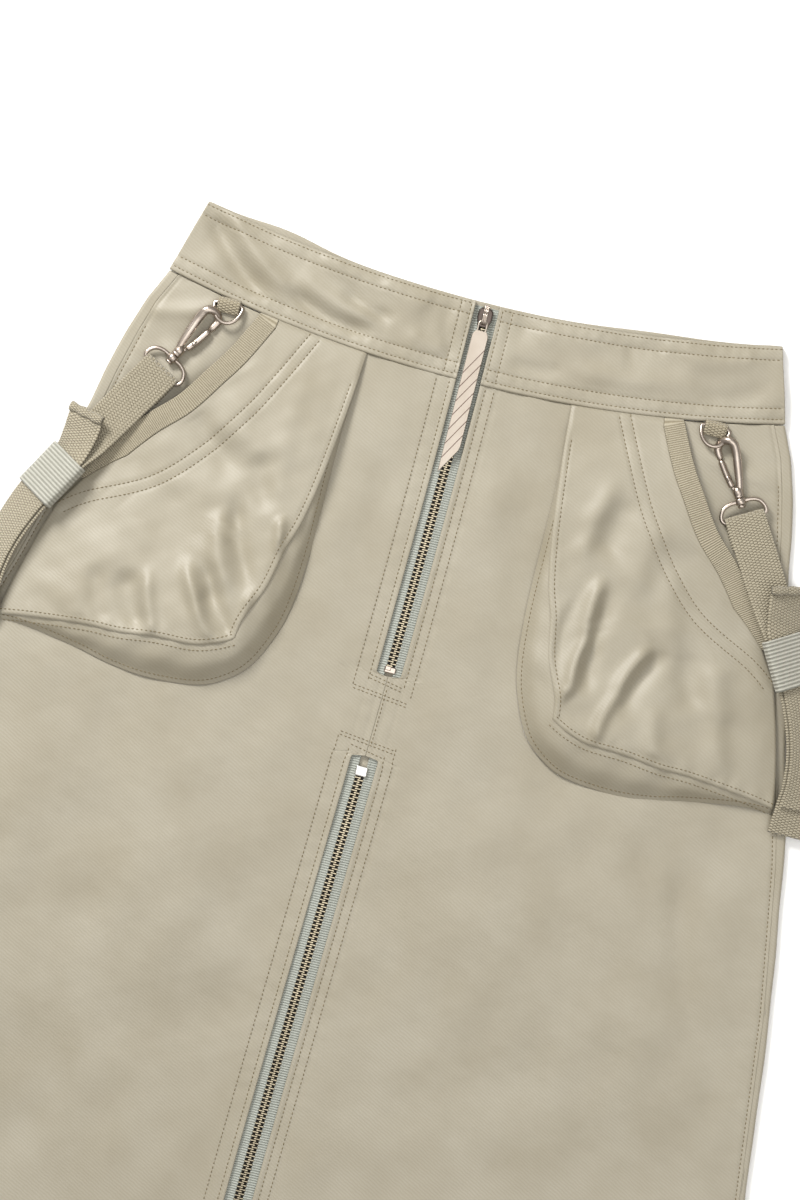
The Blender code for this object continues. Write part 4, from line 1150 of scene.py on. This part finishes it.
def makeKeeper(side, hand, node, rows):
    # a tight elastic band round strap and tail, ribbed round the band
    middle = rows[strap["keeperRow"]]
    before, after = rows[strap["keeperRow"] - 1], rows[strap["keeperRow"] + 1]
    ahead = after[:3] - before[:3]
    ahead /= np.linalg.norm(ahead)
    flatAcross = np.array([ahead[1], -ahead[0], 0])
    flatAcross /= np.linalg.norm(flatAcross)
    roll = math.radians(middle[3])
    across = flatAcross * math.cos(roll) - np.array([0, 0, 1.0]) * math.sin(roll)
    normal = flatAcross * math.sin(roll) + np.array([0, 0, 1.0]) * math.cos(roll)
    low = -strap["wall"] / 2 - strap["ease"]
    high = strap["lift"] + strap["wall"] / 2 + strap["ease"]
    left, right = -strap["half"] - strap["ease"], strap["half"] + strap["shift"] + strap["ease"]
    halfX, halfZ = (right - left) / 2, (high - low) / 2
    around, power = 60, 0.28
    turn = 2 * np.pi * np.arange(around) / around
    x = (left + right) / 2 + halfX * np.sign(np.cos(turn)) * np.abs(np.cos(turn)) ** power
    z = (low + high) / 2 + halfZ * np.sign(np.sin(turn)) * np.abs(np.sin(turn)) ** power
    out = np.stack([np.cos(turn), np.sin(turn)], 1)
    end, wall = strap["keeperHalf"], strap["keeperWall"]
    along = np.concatenate([[-end, 0.4 - end, 1 - end], steps(2 - end, end - 2, 1.0),
                            [end - 1, end - 0.4, end]])
    # a torus of outer and inner faces: along rows out and back, round in columns
    loops = [(a, wall * (0.7 if abs(a) == end else 1.0) + 0.12 * math.sin(a * 3.14))
             for a in along]
    loops += [(a, 0.0) for a in along[::-1]]
    points, uv = [], []
    gone = goneAlong(np.stack([x, z], 1))
    for a, lift in loops:
        for k in range(around):
            spot = middle[:3] + across * (x[k] + out[k, 0] * lift) \
                + normal * (z[k] + out[k, 1] * lift) + ahead * a
            points.append(spot * [side, 1, 1])
            uv.append((a + end, gone[k]))
    made = place("keeper" + hand, (points, ringFaces(len(loops), around, closed=True)),
                 "ribbedElastic", [f"keeper_{node}"], "root", uv)


for side, hand, node in sides:
    makeRing(side, hand, node)
    makeClip(side, hand, node)
    makeStrap(side, hand, node)
print("clips and straps made")


# the stitches' dark thread colour is painted shade of their needle holes
stitch = {"pitch": 2.6, "length": 1.7, "half": 0.3, "rise": 0.22}
trees = {}


def heightUnder(names, s, t):
    # the highest point of the named pieces under a spot
    best = None
    for name in names:
        if name not in trees:
            mesh = surfaces[name].data
            trees[name] = BVHTree.FromPolygons([v.co for v in mesh.vertices],
                                               [p.vertices for p in mesh.polygons])
        spot = toFrame([s, t, 200.0])
        hit = trees[name].ray_cast(Vector(spot), Vector((0, 0, -1)))[0]
        if hit is not None and (best is None or hit.z * 1000 > best):
            best = hit.z * 1000
    return best


def stitchRow(line, names, parts, seed):
    # single raised stitches along a line, left out where the cloth under them drops
    line = np.asarray(line, float)[:, :2]
    gone = goneAlong(line)
    random = np.random.default_rng(seed)
    for start in np.arange(0.6, gone[-1] - stitch["length"], stitch["pitch"]):
        start = start + random.uniform(-0.15, 0.15)
        spots = []
        for reach in (start, start + stitch["length"] / 2, start + stitch["length"]):
            s, t = (np.interp(reach, gone, line[:, k]) for k in (0, 1))
            z = heightUnder(names, s, t)
            if z is None:
                break
            spots.append((s, t, z))
        if len(spots) < 3 or max(p[2] for p in spots) - min(p[2] for p in spots) > 1.4:
            continue
        path = np.array(spots)
        path[:, 2] += [-0.12, stitch["rise"], -0.12]
        parts.append(tubeMesh(path, [0.14, stitch["half"], 0.14], 5))


def frontLine(side, offset, t0, t1, far=False):
    t = steps(t0, t1, 4)
    if far:
        aside = halfAt(t) - insetAt(t) - offset
    else:
        aside = np.interp(t, zipGapT, zipGapHalf) + offset
        aside = np.where((t > 221) & (t < 273), zipHalf + offset, aside)
    return np.stack([swayAt(t) + side * aside, t], 1)


def bandLine(side, down):
    aside, t = bandPoint(np.linspace(2 / 176, 1, 60), down, zipHalf)
    return np.stack([swayAt(t) + side * aside, t], 1)


parts = []
for side, hand, node in sides:
    for down in band["rows"]:
        stitchRow(bandLine(side, down / band["height"]), ["band" + hand], parts, 1)
    for offset in band["near"]:
        t = steps(1.5, 44, 4)
        stitchRow(gridOf(swayAt(t) + side * (zipHalf + offset), t), ["band" + hand], parts, 2)
place("waistbandStitches", joinMeshes(*parts), "spunThreadPaintedShade")

parts = []
bothFronts = ["frontLeft", "frontRight"]
outerRow = {-1: 11.2, 1: 8.6}
lean = 2.0
for side, hand, node in sides:
    for seed, offset, t0, t1 in ((3, 3.4, 48, 228), (4, outerRow[side], 48, 234),
                                 (5, 3.4, 268, 846), (6, outerRow[side], 262, 846)):
        stitchRow(frontLine(side, offset, t0, t1), bothFronts, parts, seed)
    for offset in front["stitchFar"]:
        stitchRow(frontLine(side, offset, 60, 846, far=True), bothFronts, parts, 7)
for left, right, t in ((3.4, 3.4, 226), (3.4, 3.4, 228.2), (11.2, 8.6, 234), (11.2, 8.6, 236),
                       (3.4, 3.4, 268), (11.2, 8.6, 262), (11.2, 8.6, 264)):
    middle = float(swayAt(t))
    stitchRow([(middle - zipHalf - left, t - lean), (middle + zipHalf + right, t + lean)],
              bothFronts, parts, 8)
t = steps(230, 266, 4)
stitchRow(gridOf(swayAt(t) + 1.3, t), bothFronts, parts, 9)
for side, hand, node in sides:
    foot = curve(gussetRows, 12)[:, 2:4] * [side, 1]
    stitchRow(foot - leftOf(foot) * side * 3.0, ["front" + hand, "gusset" + hand], parts, 10)
place("frontStitches", joinMeshes(*parts), "spunThreadPaintedShade")

parts = []
for side, hand, node in sides:
    names = ["pocket" + hand, "gusset" + hand]
    inner, bottom = curve(pocketInner, 10)[:, :2], curve(pocketBottom, 10)[:, :2]
    line = inner - leftOf(inner) * pocket["innerStitch"]
    stitchRow(line[12:] * [side, 1], names[:1], parts, 11)
    for step in (pocket["bottomStitch"], -3.4):
        stitchRow((bottom - leftOf(bottom) * step) * [side, 1], names, parts, 12)
    for step in pocket["facingSteps"]:
        stitchRow(facingLine(step) * [side, 1], names[:1], parts, 13)
place("pocketStitches", joinMeshes(*parts), "spunThreadPaintedShade")
print("stitching made")


view = {"x": 0.0090, "y": 0.2378, "height": 1.643, "roll": math.atan2(0.2453, 0.9694)}
studio = {
    "floor": "#fdfdfc",
    "floorWorn": "#fbfaf8",
    "sky": "#f4f3f0",
    "horizon": "#968d84",
    "skyStrength": 0.6,
    "key": ((-1.1, 1.35, 1.25), 0.6, 44.0),
    "fill": ((1.2, -0.5, 1.6), 1.6, 8.0),
    "top": ((0.1, 0.2, 2.3), 1.6, 15.0),
}


def makeFloor():
    # flat paint, faintly mottled by the roller
    made, tree, spot = newMaterial("paintedStudioFloor")
    mottle = addNode(tree, "ShaderNodeTexNoise", {"Vector": spot, "Scale": 3.0})
    colour = addNode(tree, "ShaderNodeMix",
                     {0: mottle, 6: hexColour(studio["floor"]),
                      7: hexColour(studio["floorWorn"])}, data_type="RGBA")
    shader = addNode(tree, "ShaderNodeBsdfPrincipled", {"Base Color": colour.outputs[2],
                                                        "Roughness": 0.9})
    addNode(tree, "ShaderNodeOutputMaterial", {"Surface": shader})
    mesh = bpy.data.meshes.new("floor")
    size, drop = 4.0, -0.0006
    mesh.from_pydata([(-size, -size, drop), (size, -size, drop), (size, size, drop),
                      (-size, size, drop)], [], [(0, 1, 2, 3)])
    mesh.materials.append(made)
    floor = bpy.data.objects.new("floor", mesh)
    bpy.context.scene.collection.objects.link(floor)


def makeLight(name):
    spot, size, power = studio[name]
    lamp = bpy.data.lights.new(name, "AREA")
    lamp.size, lamp.energy = size, power
    obj = bpy.data.objects.new(name, lamp)
    obj.location = spot
    aim = Vector((0.0, 0.2, 0.0)) - obj.location
    obj.rotation_euler = aim.to_track_quat("-Z", "Y").to_euler()
    bpy.context.scene.collection.objects.link(obj)


makeFloor()
for lampName in ("key", "fill", "top"):
    makeLight(lampName)
world = bpy.data.worlds.new("studio")
world.use_nodes = True
sky = world.node_tree
glow = sky.nodes["Background"]
direction = addNode(sky, "ShaderNodeTexCoord")
upward = addNode(sky, "ShaderNodeSeparateXYZ", {"Vector": direction.outputs["Generated"]})
level = addNode(sky, "ShaderNodeMapRange", {"Value": upward.outputs[2], "From Max": 0.8})
shade = addNode(sky, "ShaderNodeMix", {0: level, 6: hexColour(studio["horizon"]),
                                       7: hexColour(studio["sky"])}, data_type="RGBA")
sky.links.new(shade.outputs[2], glow.inputs["Color"])
glow.inputs["Strength"].default_value = studio["skyStrength"]
bpy.context.scene.world = world
bpy.context.scene.view_settings.view_transform = "Standard"

lens = bpy.data.cameras.new("overhead")
lens.lens, lens.sensor_width = 85, 36
lens.clip_start, lens.clip_end = 0.05, 20
camera = bpy.data.objects.new("overhead", lens)
camera.location = (view["x"], view["y"], view["height"])
camera.rotation_euler = (0, 0, view["roll"])
bpy.context.scene.collection.objects.link(camera)
bpy.context.scene.camera = camera
print("stage made")
